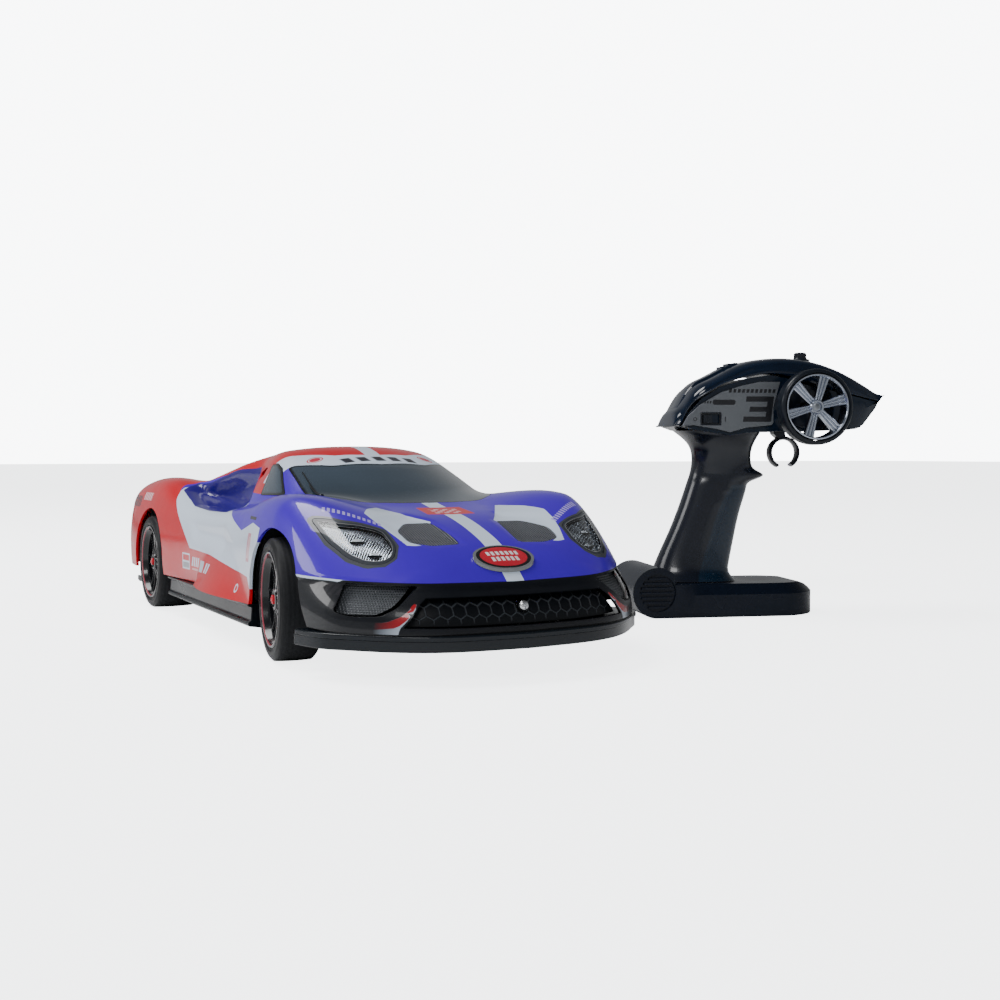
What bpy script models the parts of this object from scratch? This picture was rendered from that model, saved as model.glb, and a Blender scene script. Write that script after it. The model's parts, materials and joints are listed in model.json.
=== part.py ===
"""A one-tenth scale toy racing coupe and its pistol-grip radio handset.

The car lies along X with its nose at +X, the handset stands beside its left front wheel, and both
rest on z = 0. Lengths below are in millimetres; MM turns them into metres when a mesh is made.
"""

import math

import bmesh
import bpy
import numpy as np
from mathutils import Vector

MM = 0.001
GAP = 0.3                    # clearance between neighbouring pieces

# Driving dimensions of the car
CAR_AT = (-5.2, -133.1, 0)   # centre of the car on the floor
FRONT_AXLE = 132             # x of the front axle
REAR_AXLE = -140             # x of the rear axle
AXLE_HEIGHT = 33
TYRE_RADIUS = 33
RIM_RADIUS = 25.8
TYRE_BORE = RIM_RADIUS + GAP
FRONT_WHEEL_Y = (69, 96)     # inner and outer face of a front tyre
REAR_WHEEL_Y = (66, 97)
KINGPIN_Y = 61
STEER_ARM = 18               # kingpin to tie rod
HORN_ARM = 16
PARKED_STEER = math.radians(-7.5)   # the car stands with its wheels turned a little to the right
SHELL_THICKNESS = 1.8
SHELL_BOTTOM = 27
SHELL_BOTTOM_NOSE = 24.4
TRAY_BOTTOM = 9
TRAY_FLOOR = 12
TRAY_TOP = 17
SPLITTER_Z = (15.6, 23.6)
RECESS = 5                   # how far the grille lies behind the bumper skin
BOWL_DEPTH = 9               # how far the headlight bowls reach behind the skin

# Gears: motor pinion and axle gear, one stage
GEAR_MODULE = 0.7
PINION_TEETH = 16
AXLE_GEAR_TEETH = 48
GEAR_Y = (14, 20)
MOTOR_RADIUS = 14
MOTOR_Y = (-36, 11)
PINION_LIFT = math.radians(14)      # direction from the axle to the motor, above the horizontal

# Driving dimensions of the handset; its trigger side is local +X, its wheel side local -Y
HANDSET_AT = (66.3, 117.4, 0)
HANDSET_TURN = math.radians(71.2)
HEAD_HALF_WIDTH = 26
CANOPY_HALF_WIDTH = 28
BASE_HALF_WIDTH = 33
DRUM_X = -56
DRUM_RADIUS = 17
HANDWHEEL_AT = (50, 141.5)   # x and z of the steering wheel's axis
HANDWHEEL_RADIUS = 25.5
HANDWHEEL_Y = (-47, -33)
TRIGGER_PIVOT = (39, 134)
TRIGGER_RING = (44.5, 111)
KNOB_X = 56.5


# ---------------------------------------------------------------- curves and the body's surface

def smooth_curve(points):
    """The natural cubic through (place, value) points, held constant past its ends."""
    place, value = np.array(points, float).T
    step_sizes = np.diff(place)
    slopes = np.diff(value) / step_sizes
    count = len(place)
    matrix = np.eye(count)
    right = np.zeros(count)
    for i in range(1, count - 1):
        matrix[i, i - 1:i + 2] = step_sizes[i - 1], 2 * (step_sizes[i - 1] + step_sizes[i]), step_sizes[i]
        right[i] = 6 * (slopes[i] - slopes[i - 1])
    bend = np.linalg.solve(matrix, right)

    def at(where):
        where = np.clip(where, place[0], place[-1])
        i = np.clip(np.searchsorted(place, where) - 1, 0, count - 2)
        width = step_sizes[i]
        before = (place[i + 1] - where) / width
        after = (where - place[i]) / width
        bending = (before**3 - before) * bend[i] + (after**3 - after) * bend[i + 1]
        return before * value[i] + after * value[i + 1] + bending * width**2 / 6

    return at


def smooth_max(a, b, radius):
    """The larger of two fields, with a fillet of about this radius where they cross."""
    near = np.maximum(radius - np.abs(a - b), 0) / radius
    return np.maximum(a, b) + near * near * radius / 4


def smooth_min(a, b, radius):
    return -smooth_max(-a, -b, radius)


def ease(start, end, where):
    t = np.clip((where - start) / (end - start), 0, 1)
    return t * t * (3 - 2 * t)


# Heights and widths along the car, each as (x, value)
FENDER_LINE = smooth_curve([(-232, 83), (-205, 87), (-172, 91.5), (-140, 93), (-115, 91), (-90, 84.5),
                            (-55, 78), (-12, 75.5), (30, 78.5), (60, 82.5), (85, 86.3), (110, 88.4),
                            (132, 88), (150, 84.8), (169, 78.2), (190, 67.5), (212, 53)])
CENTRE_LINE = smooth_curve([(-232, 84), (-190, 85), (-140, 84), (-60, 82), (60, 83.5), (100, 83.6),
                            (121, 81.7), (160, 76.1), (190, 67.8), (206, 61.7), (217, 56.6), (228, 49)])
HALF_WIDTH = smooth_curve([(-232, 90), (-205, 96), (-170, 98.5), (-140, 98.8), (-105, 97), (-60, 93),
                           (0, 91.5), (60, 92.5), (100, 96.5), (132, 98), (165, 97.5), (190, 95)])
ROOF_LINE = smooth_curve([(-232, 80), (-170, 87), (-120, 95.5), (-60, 106.5), (-20, 112.8), (8, 115),
                          (34, 114.2), (60, 108)])
CABIN_HALF_WIDTH = smooth_curve([(-150, 76), (-120, 71.5), (-83, 64), (-29, 60), (0, 64.5), (30, 66),
                                 (60, 64), (86, 60), (110, 53), (130, 42)])
# The nose in plan, as (y, x), and how far it leans back with height, as (z, distance)
NOSE_LINE = smooth_curve([(0, 241), (30, 238.5), (55, 232), (75, 217), (87, 202), (94, 187), (98, 168),
                          (101, 140)])
NOSE_LEAN = smooth_curve([(20, 0), (28, 0.2), (36, 3.5), (46, 13.5), (57, 25), (70, 40), (90, 66)])
TAIL_X = -232
CABIN_END = 145              # the windscreen has sunk below the hood here


def body_field(x, y, z):
    """Roughly the distance outside the painted body: below zero inside it."""
    y = np.abs(y)
    top = z - (CENTRE_LINE(x) + (FENDER_LINE(x) - CENTRE_LINE(x)) * ease(28, 76, y))
    side = y - HALF_WIDTH(x) + 0.0042 * np.maximum(z - 44, 0)**2 + 0.004 * np.maximum(40 - z, 0)**2
    front = x - NOSE_LINE(y) + NOSE_LEAN(z)
    rear = TAIL_X + 14 * (y / 96)**4 + 0.14 * np.abs(z - 82) - x
    lower = smooth_max(smooth_max(smooth_max(top, side, 13), front * 0.8, 9), rear, 7)
    windscreen = z - 106.4 + 0.358 * (x - 52) + 11.5 * (y / 56)**2.2
    roof = z - ROOF_LINE(x) + 3 * (y / 45)**2.5
    lean_in = 0.62 - 0.5 * ease(20, 60, -x)
    cabin_side = (y - CABIN_HALF_WIDTH(x) + lean_in * (z - 85)) * 0.87
    cabin = smooth_max(smooth_max(smooth_max(roof, windscreen * 0.94, 7), cabin_side, 6), rear, 7)
    cabin = np.maximum(cabin, x - CABIN_END)
    return smooth_min(cabin, lower, 6)


SPINE_END = 150              # the rays that find the surface start on a spine between -150 and 150
FAN = 0.2                    # the share of the stations that turn around each end of the spine


def surface_rays(stations, levels):
    """Origins and directions of the rays from the spine to the left half of the body."""
    t = np.linspace(0, 1, stations)
    spine_x = np.interp(t, [0, FAN, 1 - FAN, 1], [-SPINE_END, -SPINE_END, SPINE_END, SPINE_END])
    heading = np.interp(t, [0, FAN, 1 - FAN, 1], [math.pi, math.pi / 2, math.pi / 2, 0])
    nose_drop = (SHELL_BOTTOM - SHELL_BOTTOM_NOSE) * ease(0.78, 0.86, t)
    rise = np.linspace(0, math.pi / 2, levels)
    origins = np.stack([spine_x, 0 * spine_x, SHELL_BOTTOM - nose_drop], -1)[:, None, :]
    flat = np.cos(rise)[None, :]
    directions = np.stack([np.cos(heading)[:, None] * flat, np.sin(heading)[:, None] * flat,
                           np.sin(rise)[None, :] + 0 * heading[:, None]], -1)
    return origins, directions


def surface_points(stations, levels, offset):
    """Points of the left half of the surface that lies this far outside the painted body."""
    origins, directions = surface_rays(stations, levels)
    reach = np.linspace(2, 175, 90)
    tries = origins[..., None, :] + directions[..., None, :] * reach[:, None]
    inside = body_field(tries[..., 0], tries[..., 1], tries[..., 2]) < offset
    last = len(reach) - 1 - np.argmax(inside[..., ::-1], axis=-1)
    low = reach[last]
    high = reach[np.minimum(last + 1, len(reach) - 1)]
    for _ in range(18):
        middle = (low + high) / 2
        point = origins + directions * middle[..., None]
        within = body_field(point[..., 0], point[..., 1], point[..., 2]) < offset
        low = np.where(within, middle, low)
        high = np.where(within, high, middle)
    return origins + directions * ((low + high) / 2)[..., None]


# ---------------------------------------------------------------- mesh helpers, in millimetres

def clear_scene():
    for obj in list(bpy.data.objects):
        bpy.data.objects.remove(obj, do_unlink=True)


def material(name, colour, roughness, metallic=0.0, coat=0.0):
    made = bpy.data.materials.new(name)
    made.use_nodes = True
    shader = made.node_tree.nodes["Principled BSDF"]
    shader.inputs["Base Color"].default_value = (*colour, 1)
    shader.inputs["Roughness"].default_value = roughness
    shader.inputs["Metallic"].default_value = metallic
    shader.inputs["Coat Weight"].default_value = coat
    return made


def empty(name, at, parent=None, turn=0.0):
    made = bpy.data.objects.new(name, None)
    bpy.context.scene.collection.objects.link(made)
    made.location = Vector(at) * MM
    made.rotation_euler = (0, 0, turn)
    made.parent = parent
    return made


def add(name, bm, finish, parent, sharp=35):
    """An object of this shape, at its parent's origin."""
    bmesh.ops.recalc_face_normals(bm, faces=bm.faces)
    bmesh.ops.scale(bm, vec=(MM, MM, MM), verts=bm.verts)
    mesh = bpy.data.meshes.new(name)
    bm.to_mesh(mesh)
    bm.free()
    mesh.shade_smooth()
    mesh.set_sharp_from_angle(angle=math.radians(sharp))
    made = bpy.data.objects.new(name, mesh)
    bpy.context.scene.collection.objects.link(made)
    made.parent = parent
    if finish:
        mesh.materials.append(finish)
    return made


def guide(name, bm, parent):
    """A hidden solid that others are cut or joined with."""
    made = add(name, bm, None, parent)
    made.hide_render = True
    made.display_type = 'WIRE'
    return made


def boolean(target, other, operation):
    modifier = target.modifiers.new(operation.lower() + "_" + other.name, 'BOOLEAN')
    modifier.operation = operation
    modifier.object = other
    modifier.solver = 'EXACT'


def cut(target, bm):
    boolean(target, guide("cutter_" + target.name, bm, target.parent), 'DIFFERENCE')


def unite(target, bm):
    boolean(target, guide("joined_" + target.name, bm, target.parent), 'UNION')


def place(axis, u, v, w):
    """The point at (u, v) on the plane across an axis and w along it."""
    return {'X': (w, u, v), 'Y': (u, w, v), 'Z': (u, v, w)}[axis]


def prism(outline, low, high, axis='Z'):
    bm = bmesh.new()
    ends = [[bm.verts.new(place(axis, u, v, w)) for u, v in outline] for w in (low, high)]
    for ring in ends:
        bm.faces.new(ring)
    for i in range(len(outline)):
        j = (i + 1) % len(outline)
        bm.faces.new((ends[0][i], ends[0][j], ends[1][j], ends[1][i]))
    return bm


def block(x, y, z):
    return prism([(x[0], y[0]), (x[1], y[0]), (x[1], y[1]), (x[0], y[1])], z[0], z[1])


def arc(centre, radius, start, end, steps):
    angles = [math.radians(start + (end - start) * i / steps) for i in range(steps + 1)]
    return [(centre[0] + radius * math.cos(a), centre[1] + radius * math.sin(a)) for a in angles]


def circle(centre, radius, steps):
    return arc(centre, radius, 0, 360, steps)[:-1]


def slot_outline(centre, half_length, radius, steps=6):
    """A slot along the first axis with round ends."""
    right = arc((centre[0] + half_length, centre[1]), radius, -90, 90, steps)
    return right + arc((centre[0] - half_length, centre[1]), radius, 90, 270, steps)


def rounded_box_outline(x, y, radius, steps=4):
    corners = [(x[1], y[1], 0), (x[0], y[1], 90), (x[0], y[0], 180), (x[1], y[0], 270)]
    outline = []
    for cx, cy, start in corners:
        inward_x = radius if cx == x[0] else -radius
        inward_y = radius if cy == y[0] else -radius
        outline += arc((cx + inward_x, cy + inward_y), radius, start, start + 90, steps)
    return outline


def mirrored(half):
    """A closed outline from its left half, (along, aside) points that start and end near aside = 0."""
    return half + [(u, -v) for u, v in reversed(half) if abs(v) > 0.01]


def inset(outline, distance):
    """The outline moved inwards by this distance, with mitred corners."""
    count = len(outline)
    area = sum(outline[i - 1][0] * outline[i][1] - outline[i][0] * outline[i - 1][1] for i in range(count))
    side = 1 if area > 0 else -1
    moved = []
    for i in range(count):
        here = Vector(outline[i])
        before = (here - Vector(outline[i - 1])).normalized()
        after = (Vector(outline[(i + 1) % count]) - here).normalized()
        normal = Vector((-before.y - after.y, before.x + after.x)).normalized() * side
        stretch = max(0.4, normal.dot(Vector((-after.y, after.x)) * side))
        moved.append(tuple(here + normal * distance / stretch))
    return moved


def joined(*shapes):
    """Several loose shapes in one cutter."""
    whole = bmesh.new()
    for shape in shapes:
        mesh = bpy.data.meshes.new("loose")
        shape.to_mesh(mesh)
        shape.free()
        whole.from_mesh(mesh)
        bpy.data.meshes.remove(mesh)
    return whole


def turned(profile, steps, axis='Z', centre=(0, 0)):
    """A profile of (radius, along) points turned about an axis; closed if it never meets the axis."""
    bm = bmesh.new()
    rings = []
    for radius, along in profile:
        if radius < 1e-6:
            rings.append([bm.verts.new(place(axis, centre[0], centre[1], along))])
        else:
            rings.append([bm.verts.new(place(axis, u, v, along)) for u, v in circle(centre, radius, steps)])
    pairs = list(zip(rings, rings[1:]))
    if len(rings[0]) > 1:
        pairs.append((rings[-1], rings[0]))
    for first, second in pairs:
        for i in range(steps):
            j = (i + 1) % steps
            corners = [first[i % len(first)], first[j % len(first)],
                       second[j % len(second)], second[i % len(second)]]
            bm.faces.new(list(dict.fromkeys(corners)))
    return bm


def rod(axis, centre, radius, low, high, steps=16):
    return prism(circle(centre, radius, steps), low, high, axis)


def gear_outline(teeth, turn):
    """Involute teeth with a little backlash: root, pitch and tip points on each flank."""
    pitch = GEAR_MODULE * teeth / 2
    base = pitch * math.cos(math.radians(20))
    levels = [pitch - 1.15 * GEAR_MODULE, pitch, pitch + 0.85 * GEAR_MODULE]
    backlash = 0.16

    def flank_angle(radius):
        if radius <= base:
            return 0
        angle = math.acos(base / radius)
        return math.tan(angle) - angle

    half_pitch = (math.pi * GEAR_MODULE / 2 - backlash) / 2 / pitch
    outline = []
    for tooth in range(teeth):
        middle = turn + 2 * math.pi * tooth / teeth
        half = [half_pitch + flank_angle(pitch) - flank_angle(r) for r in levels]
        flank = [(r, -h) for r, h in zip(levels, half)] + [(r, h) for r, h in zip(levels[::-1], half[::-1])]
        outline += [(r * math.cos(middle + a), r * math.sin(middle + a)) for r, a in flank]
    return outline


# ---------------------------------------------------------------- painted shell and what is set in it

def skin(outer, inner, stations=38, levels=13):
    """A closed skin between two offsets of the painted body, open below."""
    bm = bmesh.new()
    grids = []
    for offset in (outer, inner):
        half = surface_points(stations, levels, offset)
        grids.append([[[bm.verts.new((p[0], side * p[1], p[2])) for p in row] for row in half]
                      for side in (1, -1)])
    for left_grid, right_grid in [(grids[0][0], grids[0][1]), (grids[1][0], grids[1][1])]:
        for grid in (left_grid, right_grid):
            for i in range(stations - 1):
                for j in range(levels - 1):
                    bm.faces.new((grid[i][j], grid[i + 1][j], grid[i + 1][j + 1], grid[i][j + 1]))
    for side in (0, 1):
        for i in range(stations - 1):
            bm.faces.new((grids[0][side][i][0], grids[0][side][i + 1][0],
                          grids[1][side][i + 1][0], grids[1][side][i][0]))
    bmesh.ops.remove_doubles(bm, verts=bm.verts, dist=0.02)
    return bm


WINDSCREEN = mirrored([(58, 0), (53, 30), (34, 53), (86, 57.5), (102, 52), (115, 38), (123, 16),
                       (124.5, 0)])
REAR_WINDOW = mirrored([(-34, 0), (-35, 34), (-112, 40), (-114, 0)])
SIDE_WINDOW = [(13, 99), (24, 86.5), (57, 86.5), (26, 99)]
HOOD_VENT = [(167, 20.5), (168, 34), (181, 44), (193, 43), (197, 32), (197.5, 17.5), (188, 18)]
HEADLIGHT = [(157, 83.5), (170, 71), (176, 60), (181, 52.5), (195, 51.5), (202, 55.5), (203, 61.5),
             (199, 69), (190, 75.5), (175, 81)]
GRILLE = [(46, 45.2), (53, 38), (62, 27.2), (30, 26.6), (-30, 26.6), (-62, 27.2), (-53, 38), (-46, 45.2)]
CORNER_INTAKE = [(50.5, 46.3), (79, 47.5), (86, 35), (70, 35.2), (62, 38)]
TAIL_LIGHT = circle((62, 64), 11.5, 20)
BADGE_AT = (212.5, 17.5, 8.5)    # x of its middle, half width and half height in plan
NOSE_SPAN = (170, 260)           # how far along X the cutters of the nose and of the tail reach
TAIL_SPAN = (-250, -205)
SCREW_Z = 35.5                   # height of the screw in the middle of the grille


def on_side(side, outline, axis):
    """The outline as it is on the car's left side (1), or its mirror image on the right side (-1)."""
    if axis == 'X':
        return [(side * u, v) for u, v in outline]
    return [(u, side * v) for u, v in outline]


def arch_outline(axle_x):
    """The wheel opening seen from the side: an arc, wider towards the nose on the front wheel."""
    radius = 38.4
    outline = arc((axle_x, AXLE_HEIGHT), radius, 20, 180, 14) + [(axle_x - radius, 15)]
    front_foot = 48.5 if axle_x > 0 else radius
    return outline + [(axle_x + front_foot, 15), (axle_x + front_foot, 24)]


def opening_cutters(axis):
    """What is cut out of the painted shell along one axis."""
    shapes = []
    if axis == 'Z':
        shapes = [prism(WINDSCREEN, 60, 130), prism(REAR_WINDOW, 60, 130)]
    elif axis == 'X':
        shapes = [prism(GRILLE, *NOSE_SPAN, 'X')]
    for side in (1, -1):
        if axis == 'Z':
            shapes += [prism(on_side(side, HOOD_VENT, 'Z'), 40, 120),
                       prism(on_side(side, HEADLIGHT, 'Z'), 30, 120)]
        elif axis == 'X':
            shapes += [prism(on_side(side, CORNER_INTAKE, 'X'), *NOSE_SPAN, 'X'),
                       prism(on_side(side, TAIL_LIGHT, 'X'), *TAIL_SPAN, 'X')]
        else:
            shapes.append(prism(SIDE_WINDOW, 45 * side, 90 * side, 'Y'))
            shapes += [prism(arch_outline(axle), 55 * side, 120 * side, 'Y')
                       for axle in (FRONT_AXLE, REAR_AXLE)]
    return joined(*shapes)


def panel(name, finish, parent, outline, axis, span, outer=0.0, inner=-SHELL_THICKNESS):
    """A piece of skin that fills an opening of the shell, with a gap all round."""
    piece = add(name, prism(inset(outline, GAP), span[0], span[1], axis), finish, parent, sharp=30)
    layer = "skin_%g_%g" % (outer, inner)
    known = bpy.data.objects.get(layer)
    boolean(piece, known or guide(layer, skin(outer, inner), parent), 'INTERSECT')
    return piece


def painted_shell(parent, paint):
    shell = add("body_shell", skin(0, -SHELL_THICKNESS), paint, parent)
    for axis in ('Z', 'X', 'Y'):
        cut(shell, opening_cutters(axis))


def glazing(parent, glass):
    panel("windscreen", glass, parent, WINDSCREEN, 'Z', (60, 130))
    panel("rear_window", glass, parent, REAR_WINDOW, 'Z', (60, 130))
    panel("side_window_left", glass, parent, SIDE_WINDOW, 'Y', (45, 90))
    panel("side_window_right", glass, parent, SIDE_WINDOW, 'Y', (-90, -45))


def lamps(parent, clear, chrome, red):
    for side, sign in (('left', 1), ('right', -1)):
        outline = on_side(sign, HEADLIGHT, 'Z')
        panel("headlight_lens_" + side, clear, parent, outline, 'Z', (30, 120))
        panel("headlight_bowl_" + side, chrome, parent, inset(outline, 1.2), 'Z', (44, 120),
              -SHELL_THICKNESS - 1.2, -BOWL_DEPTH)
        panel("tail_light_" + side, red, parent, on_side(sign, TAIL_LIGHT, 'X'), 'X', TAIL_SPAN)


def openings_trim(parent, mesh_grey, black):
    for side, sign in (('left', 1), ('right', -1)):
        panel("hood_vent_" + side, mesh_grey, parent, on_side(sign, HOOD_VENT, 'Z'), 'Z', (40, 120))
        panel("corner_intake_" + side, mesh_grey, parent, on_side(sign, CORNER_INTAKE, 'X'), 'X', NOSE_SPAN,
              -RECESS, -RECESS - 2)
    grille = panel("front_grille", black, parent, GRILLE, 'X', NOSE_SPAN, -RECESS, -RECESS - 2)
    cut(grille, rod('X', (0, SCREW_Z), 4.2, *NOSE_SPAN, 14))


def nose_badge(parent, finish):
    middle, half_width, half_height = BADGE_AT
    oval = [(middle + half_height * math.cos(a), half_width * math.sin(a))
            for a in [2 * math.pi * i / 24 for i in range(24)]]
    panel("nose_badge", finish, parent, oval, 'Z', (30, 90), 1.7, 0.35)


def nose_screw(parent, steel):
    """The screw in the middle of the grille that holds the shell to the chassis."""
    profile = [(0, 213), (2.1, 213), (2.1, 232), (3.6, 232.4), (3.6, 234), (2.4, 235.4), (0, 235.4)]
    add("nose_screw", turned(profile, 14, 'X', (0, SCREW_Z)), steel, parent)


# ---------------------------------------------------------------- chassis

def tray_outline():
    """Half of the chassis tray in plan: narrow between the wheels, wide along the doors."""
    return mirrored([(-178, 0), (-178, 56), (-104, 56), (-97, 80), (84, 80), (93, 49), (172, 49), (172, 0)])


def chassis_tray(parent, black):
    tray = add("chassis_tray", prism(tray_outline(), TRAY_BOTTOM, TRAY_TOP), black, parent, sharp=25)
    well = prism(inset(tray_outline(), 2.4), TRAY_FLOOR, TRAY_TOP + 5)
    hatch = block((-63, 28), (-24, 24), (TRAY_BOTTOM - 2, TRAY_FLOOR + 2))
    switch_slot = block((52, 66), (-34, -28), (TRAY_BOTTOM - 2, TRAY_FLOOR + 2))
    cut(tray, well)
    cut(tray, joined(hatch, switch_slot))


def battery_door(parent, black):
    """The hatch under the battery; it swings down about its rear edge."""
    hinge = empty("battery_door_hinge", (-61, 0, 10.5), parent)
    plate = prism(slot_outline((43.9, 0), 42.8, 1.3, 5), -23.4, 23.4, 'Y')
    add("battery_door", plate, black, hinge)


def power_switch(parent, black):
    pivot = empty("power_switch_slide", (57, -31, 0), parent)
    knob = prism(rounded_box_outline((-3, 3), (-2.6, 2.6), 0.8, 2), TRAY_BOTTOM - 1.5, TRAY_FLOOR + 3)
    add("power_switch", knob, black, pivot)


def splitter_outline():
    """Plan of the splitter; its rear edge keeps clear of the steered tyres."""
    outer = [(241.5, 20), (237, 44), (229, 60), (216, 75), (203, 87), (192, 94), (177, 98.4), (175, 97.5)]
    return mirrored([(243, 0)] + outer + [(175, 54), (172.5, 50), (172.5, 0)])


def front_splitter(parent, black):
    low, high = SPLITTER_Z
    lip = add("front_splitter", prism(splitter_outline(), low, high), black, parent, sharp=30)
    bevel = lip.modifiers.new("soft_edges", 'BEVEL')
    bevel.width = 1.6 * MM
    bevel.segments = 2
    bevel.limit_method = 'ANGLE'
    bevel.angle_limit = math.radians(60)


def side_skirts(parent, black):
    section = [(80.4, 10), (88, 15.4), (94.5, 16.5), (95, 24), (92.5, 26.4), (80.4, 26.4)]
    for side, sign in (('left', 1), ('right', -1)):
        add("side_skirt_" + side, prism([(v * sign, z) for v, z in section], -96, 88, 'X'), black, parent,
            sharp=25)


def rear_diffuser(parent, black):
    """The black valance below the tail, with four fins."""
    section = [(-229, 26.3), (-227, 19), (-190, 13.5), (-179, 13.5), (-179, 26.3)]
    valance = add("rear_diffuser", prism(section, -84, 84, 'Y'), black, parent, sharp=25)
    fins = [block((-226, -186), (y - 1.2, y + 1.2), (11.5, 22)) for y in (-45, -15, 15, 45)]
    unite(valance, joined(*fins))


def front_axle_beam(parent, black):
    """The cross member whose forked ends hold the kingpins."""
    x = (FRONT_AXLE - 8, FRONT_AXLE + 8)
    beam = add("front_axle_beam", block(x, (-46, 46), (TRAY_FLOOR + GAP, 51)), black, parent)
    shapes = []
    for sign in (1, -1):
        for z in ((TRAY_TOP + 0.4, 21.3), (46.2, 51)):
            ears = prism(circle((FRONT_AXLE, 0), 6.5, 12), z[0], z[1])
            bmesh.ops.translate(ears, vec=(0, sign * KINGPIN_Y, 0), verts=ears.verts)
            arm = block((x[0] + 2, x[1] - 2), sorted((sign * 45, sign * KINGPIN_Y)), (z[0], z[1]))
            shapes += [ears, arm]
    for shape in shapes:
        unite(beam, shape)
    bores = [rod('Z', (FRONT_AXLE, sign * KINGPIN_Y), 2.5, 10, 60, 14) for sign in (1, -1)]
    cut(beam, joined(*bores, block((x[0] - 1, x[0] + 6), (-30, 30), (28, 60))))


def steering_gear(parent, black, steel):
    servo = add("steering_servo", block((84, 106), (-12, 26), (TRAY_FLOOR + GAP, 29)), black, parent)
    unite(servo, block((92, 104), (-16.5, 30.5), (22, 24.5)))
    cut(servo, rod('Z', (98, 0), 2.3, 22, 35, 14))
    horn_turn = -PARKED_STEER * STEER_ARM / HORN_ARM
    horn_hub = empty("servo_axis", (98, 0, 0), parent, horn_turn)
    arm = prism(slot_outline((HORN_ARM / 2, 0), HORN_ARM / 2, 3.4), 30, 33.5)
    horn = add("servo_horn", arm, black, horn_hub)
    unite(horn, rod('Z', (0, 0), 2, 23, 31, 12))
    unite(horn, rod('Z', (HORN_ARM, 0), 1.4, 33, 41, 10))
    rod_x = FRONT_AXLE - STEER_ARM
    sideways = -STEER_ARM * math.sin(PARKED_STEER)
    slide = empty("tie_rod_slide", (rod_x, sideways, 0), parent)
    bar = add("tie_rod", block((-3, 3), (-KINGPIN_Y, KINGPIN_Y), (36.5, 40)), steel, slide)
    pins = (-KINGPIN_Y, 0, KINGPIN_Y)
    unite(bar, joined(*[block((-6.5, 7.5), (y - 5, y + 5), (36.5, 40)) for y in pins]))
    cut(bar, joined(*[prism(slot_outline((0.3, y), 2.3, 2.2), 30, 45) for y in pins]))


def knuckles(parent, black):
    """The pivoting stub axles; each carries its wheel on a pin and is steered by an arm."""
    pivots = {}
    for side, sign in (('left', 1), ('right', -1)):
        pivot = empty("kingpin_" + side, (FRONT_AXLE, sign * KINGPIN_Y, 0), parent, PARKED_STEER)
        post = [(0, 17.6), (2.2, 17.6), (2.2, 21.7), (5, 21.7), (5, 45.8), (2.2, 45.8), (2.2, 50.6),
                (0, 50.6)]
        knuckle = add("steering_knuckle_" + side, turned(post, 16), black, pivot)
        stub = sorted((0, sign * (FRONT_WHEEL_Y[1] - KINGPIN_Y - 3.5)))
        unite(knuckle, rod('Y', (0, AXLE_HEIGHT), 3, stub[0], stub[1], 14))
        arm = prism(slot_outline((-STEER_ARM / 2, 0), STEER_ARM / 2, 3), 31, 35)
        unite(knuckle, arm)
        unite(knuckle, rod('Z', (-STEER_ARM, 0), 1.4, 34, 41, 10))
        pivots[side] = pivot
    return pivots


def wheel(name, parent, rubber, rim_finish, faces, sign, bore):
    """A tyre and its six-spoked rim, about the parent's Y axis; faces are the tyre's two sides."""
    low, high = faces
    width = high - low
    tread = [(TYRE_BORE, low), (30.5, low), (TYRE_RADIUS - 0.8, low + 1.6), (TYRE_RADIUS, low + 4),
             (TYRE_RADIUS, high - 4), (TYRE_RADIUS - 0.8, high - 1.6), (30.5, high), (TYRE_BORE, high)]
    profile = [(r, sign * y) for r, y in tread]
    add(name + "_tyre", turned(profile, 32, 'Y'), rubber, parent, sharp=45)
    barrel = [(RIM_RADIUS, low + 0.4), (RIM_RADIUS, high - 0.4), (RIM_RADIUS - 2.2, high - 0.4),
              (RIM_RADIUS - 2.6, high - 3), (RIM_RADIUS - 2.6, low + 0.4)]
    rim = add(name + "_rim", turned([(r, sign * y) for r, y in barrel], 32, 'Y'), rim_finish, parent)
    star = []
    for spoke in range(6):
        middle = 60 * spoke
        star += arc((0, 0), 7, middle - 30, middle - 22, 1)
        star += arc((0, 0), RIM_RADIUS - 1.2, middle - 5, middle + 5, 2)
        star += arc((0, 0), 7, middle + 22, middle + 30, 1)[:1]
    unite(rim, prism(star, *sorted((sign * (high - 5.5), sign * (high - 2.6))), 'Y'))
    unite(rim, rod('Y', (0, 0), 6, *sorted((sign * (low + 0.3 * width), sign * (high - 2))), 12))
    cut(rim, rod('Y', (0, 0), bore, *sorted((sign * (low - 5), sign * (high - 3))), 14))


def front_wheels(pivots, rubber, rim_finish):
    for side, sign in (('left', 1), ('right', -1)):
        hub = empty("front_wheel_centre_" + side, (0, -sign * KINGPIN_Y, AXLE_HEIGHT), pivots[side])
        wheel("front_" + side, hub, rubber, rim_finish, FRONT_WHEEL_Y, sign, 3.3)


def rear_axle(parent, rubber, rim_finish, steel, nylon):
    axle = empty("rear_axle_centre", (REAR_AXLE, 0, AXLE_HEIGHT), parent)
    reach = REAR_WHEEL_Y[1] - 3.5
    add("rear_axle_shaft", rod('Y', (0, 0), 2.5, -reach, reach, 14), steel, axle)
    gear = add("axle_gear", prism(gear_outline(AXLE_GEAR_TEETH, PINION_LIFT), *GEAR_Y, 'Y'), nylon, axle)
    cut(gear, rod('Y', (0, 0), 2.8, GEAR_Y[0] - 2, GEAR_Y[1] + 2, 14))
    for side, sign in (('left', 1), ('right', -1)):
        wheel("rear_" + side, axle, rubber, rim_finish, REAR_WHEEL_Y, sign, 2.8)


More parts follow.
